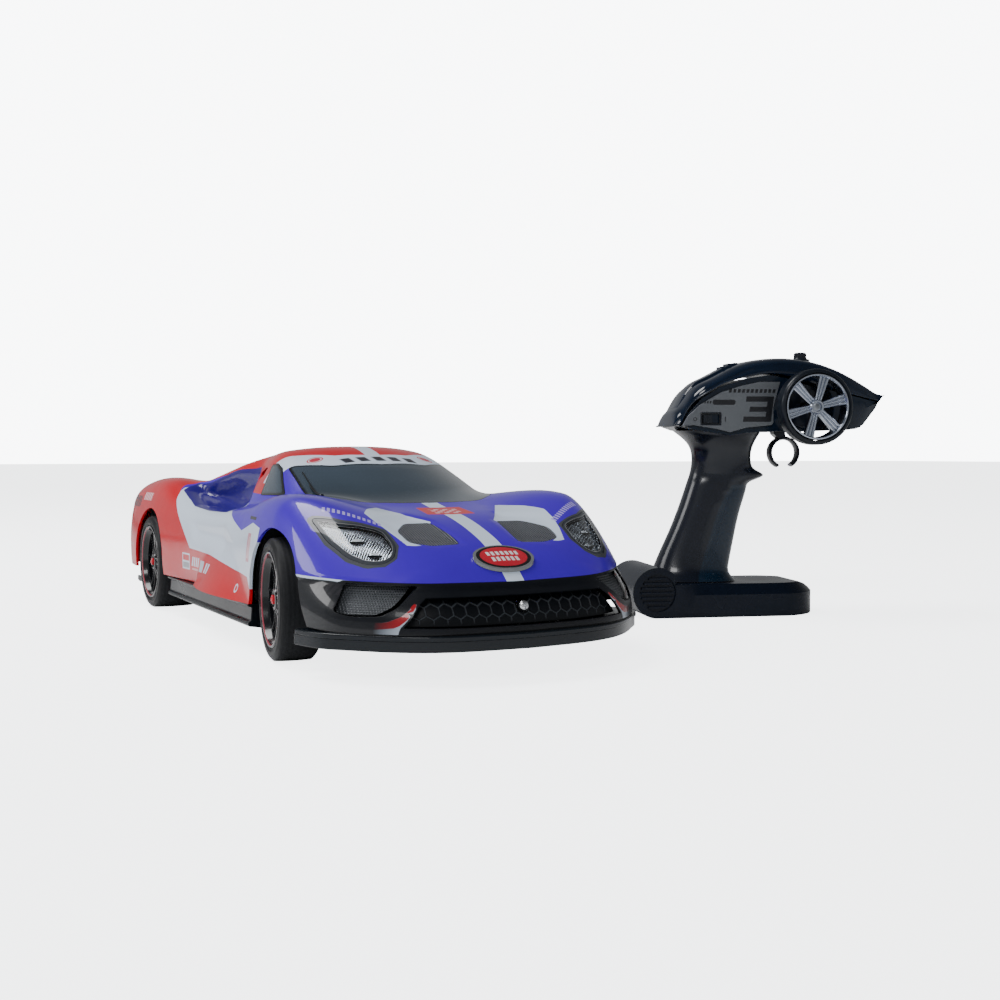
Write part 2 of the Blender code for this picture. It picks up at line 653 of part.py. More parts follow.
def motor_centre():
    distance = GEAR_MODULE * (PINION_TEETH + AXLE_GEAR_TEETH) / 2
    return (REAR_AXLE + distance * math.cos(PINION_LIFT), AXLE_HEIGHT + distance * math.sin(PINION_LIFT))


def drive_train(parent, black, steel, brass):
    """The motor, its pinion and the frame that holds them and the rear axle."""
    x, z = motor_centre()
    frame = add("gearbox_frame", block((-158, -100), (-32, 26), (TRAY_FLOOR + GAP, 15)), black, parent)
    cheek = [(-158, 13), (-100, 13), (-100, 46), (-112, 55), (-135, 55), (-158, 40)]
    for low, high in ((-32, -28), (22, 26)):
        unite(frame, prism(cheek, low, high, 'Y'))
    bores = [rod('Y', (REAR_AXLE, AXLE_HEIGHT), 2.8, -40, 40, 14),
             rod('Y', (x, z), MOTOR_RADIUS + GAP, -40, -20, 24)]
    for bore in bores:
        cut(frame, bore)
    low, high = MOTOR_Y
    can = [(0, low), (MOTOR_RADIUS - 1, low), (MOTOR_RADIUS, low + 1), (MOTOR_RADIUS, high - 1),
           (MOTOR_RADIUS - 1, high), (0, high)]
    motor = add("drive_motor", turned(can, 24, 'Y', (x, z)), steel, parent)
    cut(motor, rod('Y', (x, z), 1.9, high - 8, high + 2, 12))
    pinion_axis = empty("pinion_axis", (x, 0, z), parent)
    half_tooth = math.pi / PINION_TEETH
    teeth = gear_outline(PINION_TEETH, PINION_LIFT + math.pi + half_tooth)
    pinion = add("motor_pinion", prism(teeth, *GEAR_Y, 'Y'), brass, pinion_axis)
    unite(pinion, rod('Y', (0, 0), 1.5, high - 7, GEAR_Y[1] - 1, 12))


def electrics(parent, wrap, board):
    pack = add("battery_pack", block((-58, 24), (-21, 21), (12.6, 32)), wrap, parent)
    bevel = pack.modifiers.new("round_corners", 'BEVEL')
    bevel.width = 4 * MM
    bevel.segments = 2
    plate = add("circuit_board", block((34, 78), (-24, 24), (24, 25.6)), board, parent)
    posts = [block((x - 1.5, x + 1.5), (y - 1.5, y + 1.5), (12.3, 24.5)) for x in (37, 75) for y in (-20, 20)]
    chips = [block((44, 58), (-8, 6), (25.5, 28)), block((62, 72), (-16, -6), (25.5, 33))]
    unite(plate, joined(*posts, *chips))


# ---------------------------------------------------------------- handset

def handset_canopy(parent, gloss):
    """The glossy cover over the head, from its tail tip over the top to its nose."""
    over = [(-45.6, 128.5), (-44.9, 132), (-39.5, 140.4), (-30.5, 153), (-16, 161), (-1.5, 168.4),
            (6.5, 172.4), (20.5, 175.5), (35.2, 176.4), (50, 175.8), (65, 174), (80, 170), (95, 163.4), (110, 156.8),
            (116.3, 151.9)]
    under = [(113, 146.5), (92, 149.5), (70, 154.5), (45, 161), (24, 164.5), (10, 162.5), (-11, 156.2),
             (-25, 148.6), (-36.5, 138), (-41, 129)]
    half = CANOPY_HALF_WIDTH
    cover = add("handset_canopy", prism(over + under, -half, half, 'Y'), gloss, parent)
    bevel = cover.modifiers.new("round_edges", 'BEVEL')
    bevel.width = 3 * MM
    bevel.segments = 2
    bevel.limit_method = 'ANGLE'
    bevel.angle_limit = math.radians(60)
    pocket = [(0, 166.5), (2.5, 166.5), (2.5, 173.6), (7.2, 173.6), (7.2, 185), (0, 185)]
    cut(cover, turned(pocket, 16, 'Z', (KNOB_X, 0)))


def handset_head(parent, dark):
    """The head below the canopy, hollow on its wheel side, with a slot for the trigger."""
    outline = [(-40.2, 128.5), (-35.8, 137.4), (-24.8, 147.9), (-10.9, 155.6), (10.1, 161.9), (24, 163.9),
               (45, 160.4), (70, 153.9), (92, 148.9), (112, 145.9), (110.5, 139), (104, 131.3), (98.5, 127),
               (60, 125.6), (24.9, 124.7), (-23.3, 125.6)]
    half = HEAD_HALF_WIDTH
    head = add("handset_head", prism(outline, -half, half, 'Y'), dark, parent)
    pocket = block((-26, 20), (-half - 2, 16), (129.5, 146))
    trigger_slot = block((25, 55), (-6.5, 6.5), (120, 139))
    cut(head, joined(pocket, trigger_slot))
    x, z = TRIGGER_PIVOT
    cut(head, joined(rod('Y', (x, z), 2, -9.5, 9.5, 12), rod('Y', HANDWHEEL_AT, 3.5, -half - 2, -12, 16)))


def label_panel(parent, silver):
    outline = [(-38.5, 128.8), (-25.5, 143.2), (-11, 152), (17, 159.2), (36.5, 158.6), (32.5, 150),
               (29, 139.5), (25, 130), (10, 127.4), (-22, 127.2)]
    half = HEAD_HALF_WIDTH
    plate = add("label_panel", prism(outline, -half - 1.6, -half - GAP, 'Y'), silver, parent)
    cut(plate, block((-24, -12), (-half - 4, -half + 2), (130.6, 136.8)))


def handset_board(parent, green):
    add("handset_board", block((-10, 16), (4, 5.6), (131.5, 144)), green, parent)


def grip_sections():
    """Front and back edges of the grip at each height, as (z, back, front, half width)."""
    back = smooth_curve([(23, -52), (36.5, -47), (57, -37.7), (75, -30.5), (92, -24.7), (100, -22.4),
                         (109, -21.9), (116, -24), (124, -24)])
    front = smooth_curve([(23, 8), (27, 4.6), (34, 4.2), (53, 8), (74, 13), (87, 16.8), (91, 20),
                          (95, 29), (99, 23.5), (104, 20), (110, 19.7), (118, 21.4), (124, 24)])
    half = smooth_curve([(23, 19), (32, 15), (50, 13.5), (80, 13), (110, 13.5), (124, 17)])
    heights = [22.6, 25, 29, 36, 46, 57, 68, 78, 86, 90, 93, 95.5, 98, 102, 108, 115, 120, 124.2]
    return [(z, float(back(z)), float(front(z)), float(half(z))) for z in heights]


def handset_grip(parent, dark):
    bm = bmesh.new()
    around = 16
    rings = []
    for z, back, front, half in grip_sections():
        middle = (back + front) / 2
        reach = (front - back) / 2
        ring = []
        for i in range(around):
            angle = 2 * math.pi * i / around
            across = math.copysign(abs(math.cos(angle))**0.75, math.cos(angle))
            aside = math.copysign(abs(math.sin(angle))**0.85, math.sin(angle))
            ring.append(bm.verts.new((middle + reach * across, half * aside, z)))
        rings.append(ring)
    for low, high in zip(rings, rings[1:]):
        for i in range(around):
            j = (i + 1) % around
            bm.faces.new((low[i], low[j], high[j], high[i]))
    bm.faces.new(rings[0])
    bm.faces.new(rings[-1])
    grip = add("handset_grip", bm, dark, parent, sharp=50)
    cut(grip, rod('Y', (DRUM_X, DRUM_RADIUS), DRUM_RADIUS + GAP, -50, 50, 28))


def handset_base(parent, dark):
    """The foot with its ribbed battery drum at the back."""
    side_view = arc((DRUM_X, DRUM_RADIUS), DRUM_RADIUS, 45, 270, 14)
    side_view += [(60, 0), (63, 3), (63.5, 14), (61, 17.5), (52, 22.2), (-44, 22.2)]
    foot = add("handset_base", prism(side_view, -BASE_HALF_WIDTH, BASE_HALF_WIDTH, 'Y'), dark, parent)
    plan = arc((30, 0), BASE_HALF_WIDTH, -80, 80, 12) + [(-80, BASE_HALF_WIDTH - 0.5)]
    plan += [(-80, 0.5 - BASE_HALF_WIDTH)]
    boolean(foot, guide("base_plan", prism(plan, -5, 45), parent), 'INTERSECT')
    cut(foot, block((-41, 24), (-20, 20), (-2, 3.4)))


def handset_battery_door(parent, dark):
    hinge = empty("handset_door_hinge", (-39, 0, 2), parent)
    plate = prism(slot_outline((31, 0), 30.3, 1.1, 4), -19.6, 19.6, 'Y')
    add("handset_battery_door", plate, dark, hinge)


def handset_wheel(parent, foam, chrome):
    axis = empty("handset_wheel_axis", (HANDWHEEL_AT[0], 0, HANDWHEEL_AT[1]), parent)
    low, high = HANDWHEEL_Y
    tyre = [(21.4, low + 1), (23.5, low), (HANDWHEEL_RADIUS, low + 1.5), (HANDWHEEL_RADIUS, high - 1.5),
            (23.5, high), (21.4, high - 1)]
    add("handset_wheel_tyre", turned(tyre, 36, 'Y'), foam, axis, sharp=45)
    ring = [(21.1, low + 1.2), (19.3, low + 0.6), (18.4, low + 2), (18.4, high - 1.2), (21.1, high - 1.2)]
    rim = add("handset_wheel_rim", turned(ring, 36, 'Y'), chrome, axis)
    star = []
    for spoke in range(6):
        middle = 60 * spoke + 15
        star += arc((0, 0), 5.5, middle - 30, middle - 20, 1)
        star += arc((0, 0), 19, middle - 8, middle + 8, 2)
        star += arc((0, 0), 5.5, middle + 20, middle + 30, 1)[:1]
    unite(rim, prism(star, low + 3, low + 6, 'Y'))
    unite(rim, rod('Y', (0, 0), 3, low + 2, -16, 14))


def handset_trigger(parent, gloss):
    x, z = TRIGGER_PIVOT
    axis = empty("trigger_axis", (x, 0, z), parent)
    ring_x, ring_z = TRIGGER_RING[0] - x, TRIGGER_RING[1] - z
    loop = arc((ring_x, ring_z), 11.6, -62, 246, 22) + arc((ring_x, ring_z), 8.8, 246, -62, 22)
    trigger = add("handset_trigger", prism(loop, -4.5, 4.5, 'Y'), gloss, axis)
    stem = [(-4.2, 1), (4.2, 1), (6.2, -12.6), (0.8, -13.4), (-3, -10)]
    unite(trigger, prism(stem, -4, 4, 'Y'))
    unite(trigger, rod('Y', (0, 0), 4.4, -4.5, 4.5, 16))
    unite(trigger, rod('Y', (0, 0), 1.6, -9, 9, 12))


def handset_small_controls(parent, gloss):
    knob_axis = empty("knob_axis", (KNOB_X, 0, 0), parent)
    knob = [(0, 171.4), (2.1, 171.4), (2.1, 174), (6.6, 174), (6.6, 176.4), (4.4, 177.2), (4.2, 180.6),
            (3.4, 181.2), (0, 181.2)]
    add("trim_knob", turned(knob, 20), gloss, knob_axis)
    slide = empty("handset_switch_slide", (-20.5, -HEAD_HALF_WIDTH, 133.7), parent)
    stub = prism(rounded_box_outline((-3, 3), (-2.6, 2.6), 0.6, 2), -3, 4, 'Y')
    add("handset_switch", stub, gloss, slide)


# ---------------------------------------------------------------- the whole set

def build():
    clear_scene()
    paint = material("shell_paint", (0.13, 0.06, 0.62), 0.18, coat=1.0)
    glass = material("dark_glass", (0.10, 0.12, 0.14), 0.15, coat=1.0)
    clear = material("clear_lens", (0.75, 0.78, 0.82), 0.05)
    chrome = material("bright_chrome", (0.75, 0.76, 0.78), 0.12, 1.0)
    red = material("red_lens", (0.55, 0.01, 0.02), 0.15)
    mesh_grey = material("grey_mesh", (0.13, 0.14, 0.16), 0.5)
    black = material("black_plastic", (0.012, 0.014, 0.018), 0.35)
    badge = material("badge_enamel", (0.45, 0.02, 0.03), 0.2)
    rubber = material("tyre_rubber", (0.014, 0.015, 0.017), 0.7)
    rim_black = material("rim_black", (0.02, 0.02, 0.025), 0.25)
    steel = material("steel", (0.5, 0.51, 0.53), 0.3, 1.0)
    brass = material("brass", (0.6, 0.42, 0.16), 0.3, 1.0)
    nylon = material("white_nylon", (0.75, 0.74, 0.7), 0.45)
    wrap = material("battery_wrap", (0.03, 0.12, 0.35), 0.35)
    board = material("board_green", (0.01, 0.16, 0.07), 0.4)
    silver = material("silver_label", (0.42, 0.44, 0.46), 0.35, 0.4)
    gloss = material("handset_gloss", (0.012, 0.018, 0.032), 0.12, coat=1.0)
    dark = material("handset_plastic", (0.014, 0.02, 0.034), 0.22)
    foam = material("foam_tyre", (0.02, 0.022, 0.028), 0.6)

    car = empty("car", CAR_AT)
    shell = empty("shell_mount", (0, 0, 0), car)
    painted_shell(shell, paint)
    glazing(shell, glass)
    lamps(shell, clear, chrome, red)
    openings_trim(shell, mesh_grey, black)
    nose_badge(shell, badge)
    nose_screw(shell, steel)

    chassis_tray(car, black)
    battery_door(car, black)
    power_switch(car, black)
    front_splitter(car, black)
    side_skirts(car, black)
    rear_diffuser(car, black)
    front_axle_beam(car, black)
    steering_gear(car, black, steel)
    front_wheels(knuckles(car, black), rubber, rim_black)
    rear_axle(car, rubber, rim_black, steel, nylon)
    drive_train(car, black, steel, brass)
    electrics(car, wrap, board)

    handset = empty("handset", HANDSET_AT, turn=HANDSET_TURN)
    handset_canopy(handset, gloss)
    handset_head(handset, dark)
    label_panel(handset, silver)
    handset_board(handset, board)
    handset_grip(handset, dark)
    handset_base(handset, dark)
    handset_battery_door(handset, dark)
    handset_wheel(handset, foam, chrome)
    handset_trigger(handset, gloss)
    handset_small_controls(handset, gloss)


build()
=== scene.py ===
"""The looks of a toy racing coupe and its pistol-grip radio handset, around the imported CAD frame.

Shapes are in millimetres: the car's in the car's own axes (x to the nose, y to its left, z up, from
the middle of the wheelbase on the floor), the handset's in its own (x to its nose, wheel at -y).
Both sets of axes come from the frame's joints. Every mesh is turned into the row frame when made.
"""

import json
import math

import bmesh
import bpy
import numpy as np
from mathutils import Matrix, Vector


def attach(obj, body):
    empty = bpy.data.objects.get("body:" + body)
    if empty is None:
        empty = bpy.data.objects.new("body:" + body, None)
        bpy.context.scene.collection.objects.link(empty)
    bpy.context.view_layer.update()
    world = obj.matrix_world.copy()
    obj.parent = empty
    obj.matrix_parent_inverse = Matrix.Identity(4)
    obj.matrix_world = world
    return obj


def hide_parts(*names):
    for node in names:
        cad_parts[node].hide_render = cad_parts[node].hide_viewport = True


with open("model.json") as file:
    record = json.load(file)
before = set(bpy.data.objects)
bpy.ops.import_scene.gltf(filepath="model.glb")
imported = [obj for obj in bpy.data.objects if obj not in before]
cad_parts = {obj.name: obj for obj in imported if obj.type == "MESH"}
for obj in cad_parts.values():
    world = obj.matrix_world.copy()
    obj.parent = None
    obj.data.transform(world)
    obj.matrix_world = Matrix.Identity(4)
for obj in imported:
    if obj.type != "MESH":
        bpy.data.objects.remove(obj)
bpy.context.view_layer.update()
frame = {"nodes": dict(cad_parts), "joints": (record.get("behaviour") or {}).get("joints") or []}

MM = 0.001
BEVEL_ANGLE = math.radians(30)
GAP = 0.3                    # between a panel and the edge of its opening

# Places in the car's and the handset's own axes
REAR_AXLE = -140
FRONT_AXLE = 132
AXLE_HEIGHT = 33
KNOB_X = 56.5
SIDES = (('left', 1), ('right', -1))     # and the sign of y there
JOINTS = {joint["name"]: joint for joint in frame["joints"]}


def joint_place(name):
    """Where a joint stands, in metres."""
    return Vector(JOINTS[name]["pos_m"])


def car_axes():
    """The car's own axes, found from its rear axle."""
    axle = joint_place("rear_axle_spin")
    return Matrix.Translation((axle.x - REAR_AXLE * MM, axle.y, 0)) @ Matrix.Scale(MM, 4)


def turn_to(across):
    """A turn about z that puts the y axis along this level direction."""
    return Matrix.Rotation(math.atan2(-across[0], across[1]), 4, 'Z')


def handset_axes():
    """The handset's own axes, found from its wheel's axis and its trim knob."""
    turn = turn_to(JOINTS["handset_wheel_turn"]["axis"])
    knob = joint_place("trim_knob_turn")
    to_knob = Matrix.Translation((-KNOB_X * MM, 0, 0))
    return Matrix.Translation((knob.x, knob.y, 0)) @ turn @ to_knob @ Matrix.Scale(MM, 4)


def spin_axes(name):
    """Axes at a wheel's joint: its own y along the joint's axis."""
    turn = turn_to(JOINTS[name]["axis"])
    return Matrix.Translation(joint_place(name)) @ turn @ Matrix.Scale(MM, 4)


CAR = car_axes()
HANDSET = handset_axes()


# ---------------------------------------------------------------- curves and outlines

def smooth_curve(points):
    """The natural cubic through (place, value) points, held constant past its ends."""
    place, value = np.array(points, float).T
    step_sizes = np.diff(place)
    slopes = np.diff(value) / step_sizes
    count = len(place)
    matrix = np.eye(count)
    right = np.zeros(count)
    for i in range(1, count - 1):
        before, after = step_sizes[i - 1], step_sizes[i]
        matrix[i, i - 1:i + 2] = before, 2 * (before + after), after
        right[i] = 6 * (slopes[i] - slopes[i - 1])
    bend = np.linalg.solve(matrix, right)

    def at(where):
        where = np.clip(where, place[0], place[-1])
        i = np.clip(np.searchsorted(place, where) - 1, 0, count - 2)
        width = step_sizes[i]
        before = (place[i + 1] - where) / width
        after = (where - place[i]) / width
        bending = (before**3 - before) * bend[i] + (after**3 - after) * bend[i + 1]
        return before * value[i] + after * value[i + 1] + bending * width**2 / 6

    return at


def smooth_max(a, b, radius):
    """The larger of two fields, with a fillet of about this radius where they cross."""
    near = np.maximum(radius - np.abs(a - b), 0) / radius
    return np.maximum(a, b) + near * near * radius / 4


def smooth_min(a, b, radius):
    """The smaller of two fields, with a fillet of about this radius where they cross."""
    return -smooth_max(-a, -b, radius)


def ease(start, end, where):
    """0 up to start, 1 from end on, and a smooth run between them."""
    t = np.clip((where - start) / (end - start), 0, 1)
    return t * t * (3 - 2 * t)


def line_distance(line, u, v):
    """Distance from (u, v) to an open line of points."""
    nearest = np.full(np.shape(u), 1e9)
    for (au, av), (bu, bv) in zip(line, line[1:]):
        du, dv = bu - au, bv - av
        t = np.clip(((u - au) * du + (v - av) * dv) / (du * du + dv * dv), 0, 1)
        nearest = np.minimum(nearest, np.hypot(u - au - t * du, v - av - t * dv))
    return nearest


def depth_in(outline, u, v):
    """Signed distance from (u, v) to a closed outline, above zero inside it."""
    closed = list(outline) + [outline[0]]
    inside = np.zeros(np.shape(u), bool)
    for (au, av), (bu, bv) in zip(closed, closed[1:]):
        if av != bv:
            crosses = (av > v) != (bv > v)
            inside ^= crosses & (u < au + (v - av) * (bu - au) / (bv - av))
    return np.where(inside, 1, -1) * line_distance(closed, u, v)


def arc(centre, radius, start, end, steps):
    """Points along an arc; its two angles are in degrees."""
    angles = [math.radians(start + (end - start) * i / steps) for i in range(steps + 1)]
    return [(centre[0] + radius * math.cos(a), centre[1] + radius * math.sin(a)) for a in angles]


def circle(centre, radius, steps):
    """Points round a closed circle."""
    return arc(centre, radius, 0, 360, steps)[:-1]


def rectangle(u0, u1, v0, v1):
    """The outline of a rectangle."""
    return [(u0, v0), (u1, v0), (u1, v1), (u0, v1)]


def mirrored(half):
    """A closed outline from its left half, (along, aside) points that start and end near aside = 0."""
    return half + [(u, -v) for u, v in reversed(half) if abs(v) > 0.01]


def on_side(side, outline, axis):
    """The outline as it is on the car's left side (1), or its mirror image on the right side (-1)."""
    if axis == 'X':
        return [(side * u, v) for u, v in outline]
    return [(u, side * v) for u, v in outline]


def inset(outline, distance):
    """The outline moved inwards by this distance, with mitred corners."""
    count = len(outline)
    area = 0
    for (au, av), (bu, bv) in zip(outline, outline[1:] + outline[:1]):
        area += au * bv - bu * av
    side = 1 if area > 0 else -1
    moved = []
    for i in range(count):
        here = Vector(outline[i])
        before = (here - Vector(outline[i - 1])).normalized()
        after = (Vector(outline[(i + 1) % count]) - here).normalized()
        normal = Vector((-before.y - after.y, before.x + after.x)).normalized() * side
        stretch = max(0.4, normal.dot(Vector((-after.y, after.x)) * side))
        moved.append(tuple(here + normal * distance / stretch))
    return moved


def rounded(outline, radius, steps=5):
    """The outline with its corners rounded off."""
    soft = []
    count = len(outline)
    for i in range(count):
        here = Vector(outline[i])
        before = Vector(outline[i - 1]) - here
        after = Vector(outline[(i + 1) % count]) - here
        reach = min(radius, before.length * 0.45, after.length * 0.45)
        start, end = here + before.normalized() * reach, here + after.normalized() * reach
        for step in range(steps + 1):
            t = step / steps
            soft.append(tuple(start * (1 - t)**2 + here * 2 * t * (1 - t) + end * t * t))
    return soft


# ---------------------------------------------------------------- mesh helpers

def place(axis, u, v, w):
    """The point at (u, v) on the plane across an axis and w along it."""
    return {'X': (w, u, v), 'Y': (u, w, v), 'Z': (u, v, w)}[axis]


def loft(rings, closed=True, caps=True, shape=None):
    """A surface through rings of points; closed joins each ring's last point to its first."""
    bm = shape or bmesh.new()
    made = [[bm.verts.new(p) for p in ring] for ring in rings]
    count = len(made[0])
    for low, high in zip(made, made[1:]):
        for i in range(count if closed else count - 1):
            j = (i + 1) % count
            bm.faces.new((low[i], low[j], high[j], high[i]))
    if caps:
        bm.faces.new(made[0])
        bm.faces.new(made[-1])
    return bm


def prism(outline, low, high, axis='Z', shape=None):
    """An outline drawn out along an axis, from low to high."""
    return loft([[place(axis, u, v, w) for u, v in outline] for w in (low, high)], shape=shape)


def turned(profile, steps, axis='Y', centre=(0, 0), shape=None):
    """A closed profile of (radius, along) points turned about an axis; points on the axis become poles."""
    bm = shape or bmesh.new()
    rings = []
    for radius, along in profile:
        if radius < 1e-6:
            rings.append([bm.verts.new(place(axis, centre[0], centre[1], along))])
        else:
            rings.append([bm.verts.new(place(axis, u, v, along)) for u, v in circle(centre, radius, steps)])
    pairs = list(zip(rings, rings[1:]))
    if len(rings[0]) > 1:
        pairs.append((rings[-1], rings[0]))
    for first, second in pairs:
        for i in range(steps):
            j = (i + 1) % steps
            corners = [first[i % len(first)], first[j % len(first)],
                       second[j % len(second)], second[i % len(second)]]
            bm.faces.new(list(dict.fromkeys(corners)))
    return bm


def tube(points, radius, around=10, shape=None):
    """A round bar along points, with rounded-off ends."""
    points = [Vector(p) for p in points]
    rings = []
    side = None
    for i, here in enumerate(points):
        along = (points[min(i + 1, len(points) - 1)] - points[max(i - 1, 0)]).normalized()
        side = (side or along.orthogonal())
        side = (side - along * side.dot(along)).normalized()
        other = along.cross(side)
        angles = [2 * math.pi * k / around for k in range(around)]

        def ring(at, size):
            return [at + side * size * math.cos(a) + other * size * math.sin(a) for a in angles]
        if i == 0:
            rings.append(ring(here - along * radius * 0.8, radius * 0.5))
        rings.append(ring(here, radius))
        if i == len(points) - 1:
            rings.append(ring(here + along * radius * 0.8, radius * 0.5))
    return loft(rings, shape=shape)


def mesh_from(bm, name):
    """A mesh in local millimetres, with its faces turned outwards."""
    bmesh.ops.recalc_face_normals(bm, faces=bm.faces)
    mesh = bpy.data.meshes.new(name)
    bm.to_mesh(mesh)
    bm.free()
    return mesh


def loose_object(name, data):
    """An object in the scene, of a mesh, a light or a camera, that rides on nothing yet."""
    made = bpy.data.objects.new(name, data)
    bpy.context.scene.collection.objects.link(made)
    return made


def solid_object(name, shape):
    """A loose object made from a shape, to cut or to be cut."""
    return loose_object(name, mesh_from(shape, name))


def boolean(target, other, operation, solver='MANIFOLD'):
    """Let the other object cut or trim the target; the exact solver also takes crossing cutters."""
    modifier = target.modifiers.new(operation.lower(), 'BOOLEAN')
    modifier.operation = operation
    modifier.object = other
    modifier.solver = solver
    modifier.use_self = (solver == 'EXACT')


def applied(target, helpers):
    """The target's mesh with its modifiers applied; the target and its helpers are removed."""
    bpy.context.view_layer.update()
    graph = bpy.context.evaluated_depsgraph_get()
    mesh = bpy.data.meshes.new_from_object(target.evaluated_get(graph), depsgraph=graph)
    for gone in [target, *helpers]:
        bpy.data.objects.remove(gone, do_unlink=True)
    return mesh


def cut_out(target, cutters, solver='MANIFOLD'):
    """The target's mesh with the shape of each cutter taken out of it."""
    helpers = []
    for shape in cutters:
        helpers.append(solid_object("cutter", shape))
        boolean(target, helpers[-1], 'DIFFERENCE', solver)
    return applied(target, helpers)


def upright(outline, middle, across):
    """An outline of (aside, y) points around a middle in space, aside running along across."""
    return [middle + across * u + Vector((0, v, 0)) for u, v in outline]


def piece(name, shape, finish, home, body, stands_for=(), sharp=35, bevel=0.0, marks=None):
    """A finished piece. Its mesh keeps its local millimetres in the attribute "place", and the signed
    distances that its finish needs in one attribute for each of marks."""
    mesh = mesh_from(shape, name) if isinstance(shape, bmesh.types.BMesh) else shape
    mesh.name = name
    coordinates = np.zeros(len(mesh.vertices) * 3, np.float32)
    mesh.vertices.foreach_get("co", coordinates)
    local = mesh.attributes.new("place", 'FLOAT_VECTOR', 'POINT')
    local.data.foreach_set("vector", coordinates)
    points = coordinates.reshape(-1, 3).astype(float)
    for mark, distance in (marks or {}).items():
        values = distance(points[:, 0], points[:, 1], points[:, 2])
        held = mesh.attributes.new(mark, 'FLOAT', 'POINT')
        held.data.foreach_set("value", values.astype(np.float32))
    mesh.transform(home)
    mesh.shade_smooth()
    mesh.set_sharp_from_angle(angle=math.radians(sharp))
    mesh.materials.clear()
    mesh.materials.append(finish)
    made = loose_object(name, mesh)
    if bevel:
        soft = made.modifiers.new("soft_edges", 'BEVEL')
        soft.width = bevel * MM
        soft.segments = 3
        soft.limit_method = 'ANGLE'
        soft.angle_limit = BEVEL_ANGLE
        soft.harden_normals = True
    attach(made, body)
    if stands_for:
        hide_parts(*stands_for)
    return made


# ---------------------------------------------------------------- materials

class Finish:
    """A Principled material and short names for the nodes that drive it."""

    def __init__(self, name, roughness=0.4, metallic=0.0, coat=0.0, coat_roughness=0.03):
        self.material = bpy.data.materials.new(name)
        self.material.use_nodes = True
        self.tree = self.material.node_tree
        self.shader = self.tree.nodes["Principled BSDF"]
        self.set("Roughness", roughness)
        self.set("Metallic", metallic)
        self.set("Coat Weight", coat)
        self.set("Coat Roughness", coat_roughness)

    def put(self, socket, value):
        """Link a socket to another, or give it a value; a colour may leave out its alpha."""
        if isinstance(value, bpy.types.NodeSocket):
            self.tree.links.new(value, socket)
        elif isinstance(value, tuple) and len(value) == 3 and len(socket.default_value) == 4:
            socket.default_value = (*value, 1)
        else:
            socket.default_value = value

    def set(self, name, value):
        """Drive one of the material's own inputs."""
        self.put(self.shader.inputs[name], value)

    def node(self, kind, **inputs):
        """A new node with these inputs; an underscore stands for a space in their names."""
        made = self.tree.nodes.new("ShaderNode" + kind)
        for name, value in inputs.items():
            self.put(made.inputs[name.replace("_", " ")], value)
        return made

    def math(self, operation, *values):
        """The result of one sum on numbers or sockets."""
        made = self.tree.nodes.new("ShaderNodeMath")
        made.operation = operation
        for socket, value in zip(made.inputs, values):
            self.put(socket, value)
        return made.outputs[0]

    def attribute(self, name):
        """A node that reads one of the mesh's attributes."""
        made = self.tree.nodes.new("ShaderNodeAttribute")
        made.attribute_name = name
        return made

    def local(self):
        """x, y and z of the piece's own millimetres."""
        split = self.node("SeparateXYZ", Vector=self.attribute("place").outputs["Vector"])
        return split.outputs[0], split.outputs[1], split.outputs[2]

    def above(self, value, level, blur=0.12):
        """1 where value is above level, 0 below, with an edge this wide."""
        made = self.tree.nodes.new("ShaderNodeMapRange")
        for name, given in (("Value", value), ("From Min", level - blur), ("From Max", level + blur)):
            self.put(made.inputs[name], given)
        return made.outputs[0]

    def between(self, value, low, high, blur=0.12):
        """1 where value lies between low and high, with edges this wide."""
        return self.math('MULTIPLY', self.above(value, low, blur),
                         self.opposite(self.above(value, high, blur)))

    def opposite(self, mask):
        """1 where the mask is 0, and 0 where it is 1."""
        return self.math('SUBTRACT', 1.0, mask)

    def distance(self, u, v, centre=(0, 0)):
        """How far (u, v) is from a centre."""
        u = self.math('SUBTRACT', u, centre[0]) if centre[0] else u
        v = self.math('SUBTRACT', v, centre[1]) if centre[1] else v
        return self.math('SQRT', self.math('ADD', self.math('POWER', u, 2), self.math('POWER', v, 2)))

    def both(self, *masks):
        """1 where all the masks are 1."""
        result = masks[0]
        for mask in masks[1:]:
            result = self.math('MULTIPLY', result, mask)
        return result

    def either(self, *masks):
        """1 where any of the masks is 1."""
        result = masks[0]
        for mask in masks[1:]:
            result = self.math('MAXIMUM', result, mask)
        return result

    def mix(self, share, first, second):
        """The first colour where share is 0 and the second where it is 1."""
        made = self.tree.nodes.new("ShaderNodeMix")
        made.data_type = 'RGBA'
        self.put(made.inputs["Factor"], share)
        self.put(made.inputs[6], first)
        self.put(made.inputs[7], second)
        return made.outputs[2]

    def noise(self, size, detail=3.0, where=None):
        """Cloudy noise with features of about this many millimetres."""
        where = where or self.tree.nodes.new("ShaderNodeTexCoord").outputs["Object"]
        made = self.node("TexNoise", Vector=where, Scale=1 / (size * MM), Detail=detail)
        return made.outputs["Fac"]

    def bump(self, height, depth, strength=1.0):
        """Relief of this depth in millimetres, where height runs from 0 to 1."""
        made = self.node("Bump", Height=height, Strength=strength, Distance=depth * MM)
        self.set("Normal", made.outputs[0])
        return made.outputs[0]

    def bars(self, u, v, box, pitch, share=0.6, slant=0.35):
        """A row of slanted bars inside a box (u0, u1, v0, v1), a generic stand-in for a printed word."""
        u0, u1, v0, v1 = box
        risen = self.math('SUBTRACT', v, v0)
        leaning = self.math('SUBTRACT', u, self.math('MULTIPLY', risen, slant))
        phase = self.math('FRACT', self.math('DIVIDE', self.math('SUBTRACT', leaning, u0), pitch))
        return self.both(self.between(leaning, u0, u1, 0.1), self.between(v, v0, v1, 0.1),
                         self.between(phase, 0.12, 0.12 + share, 0.06))


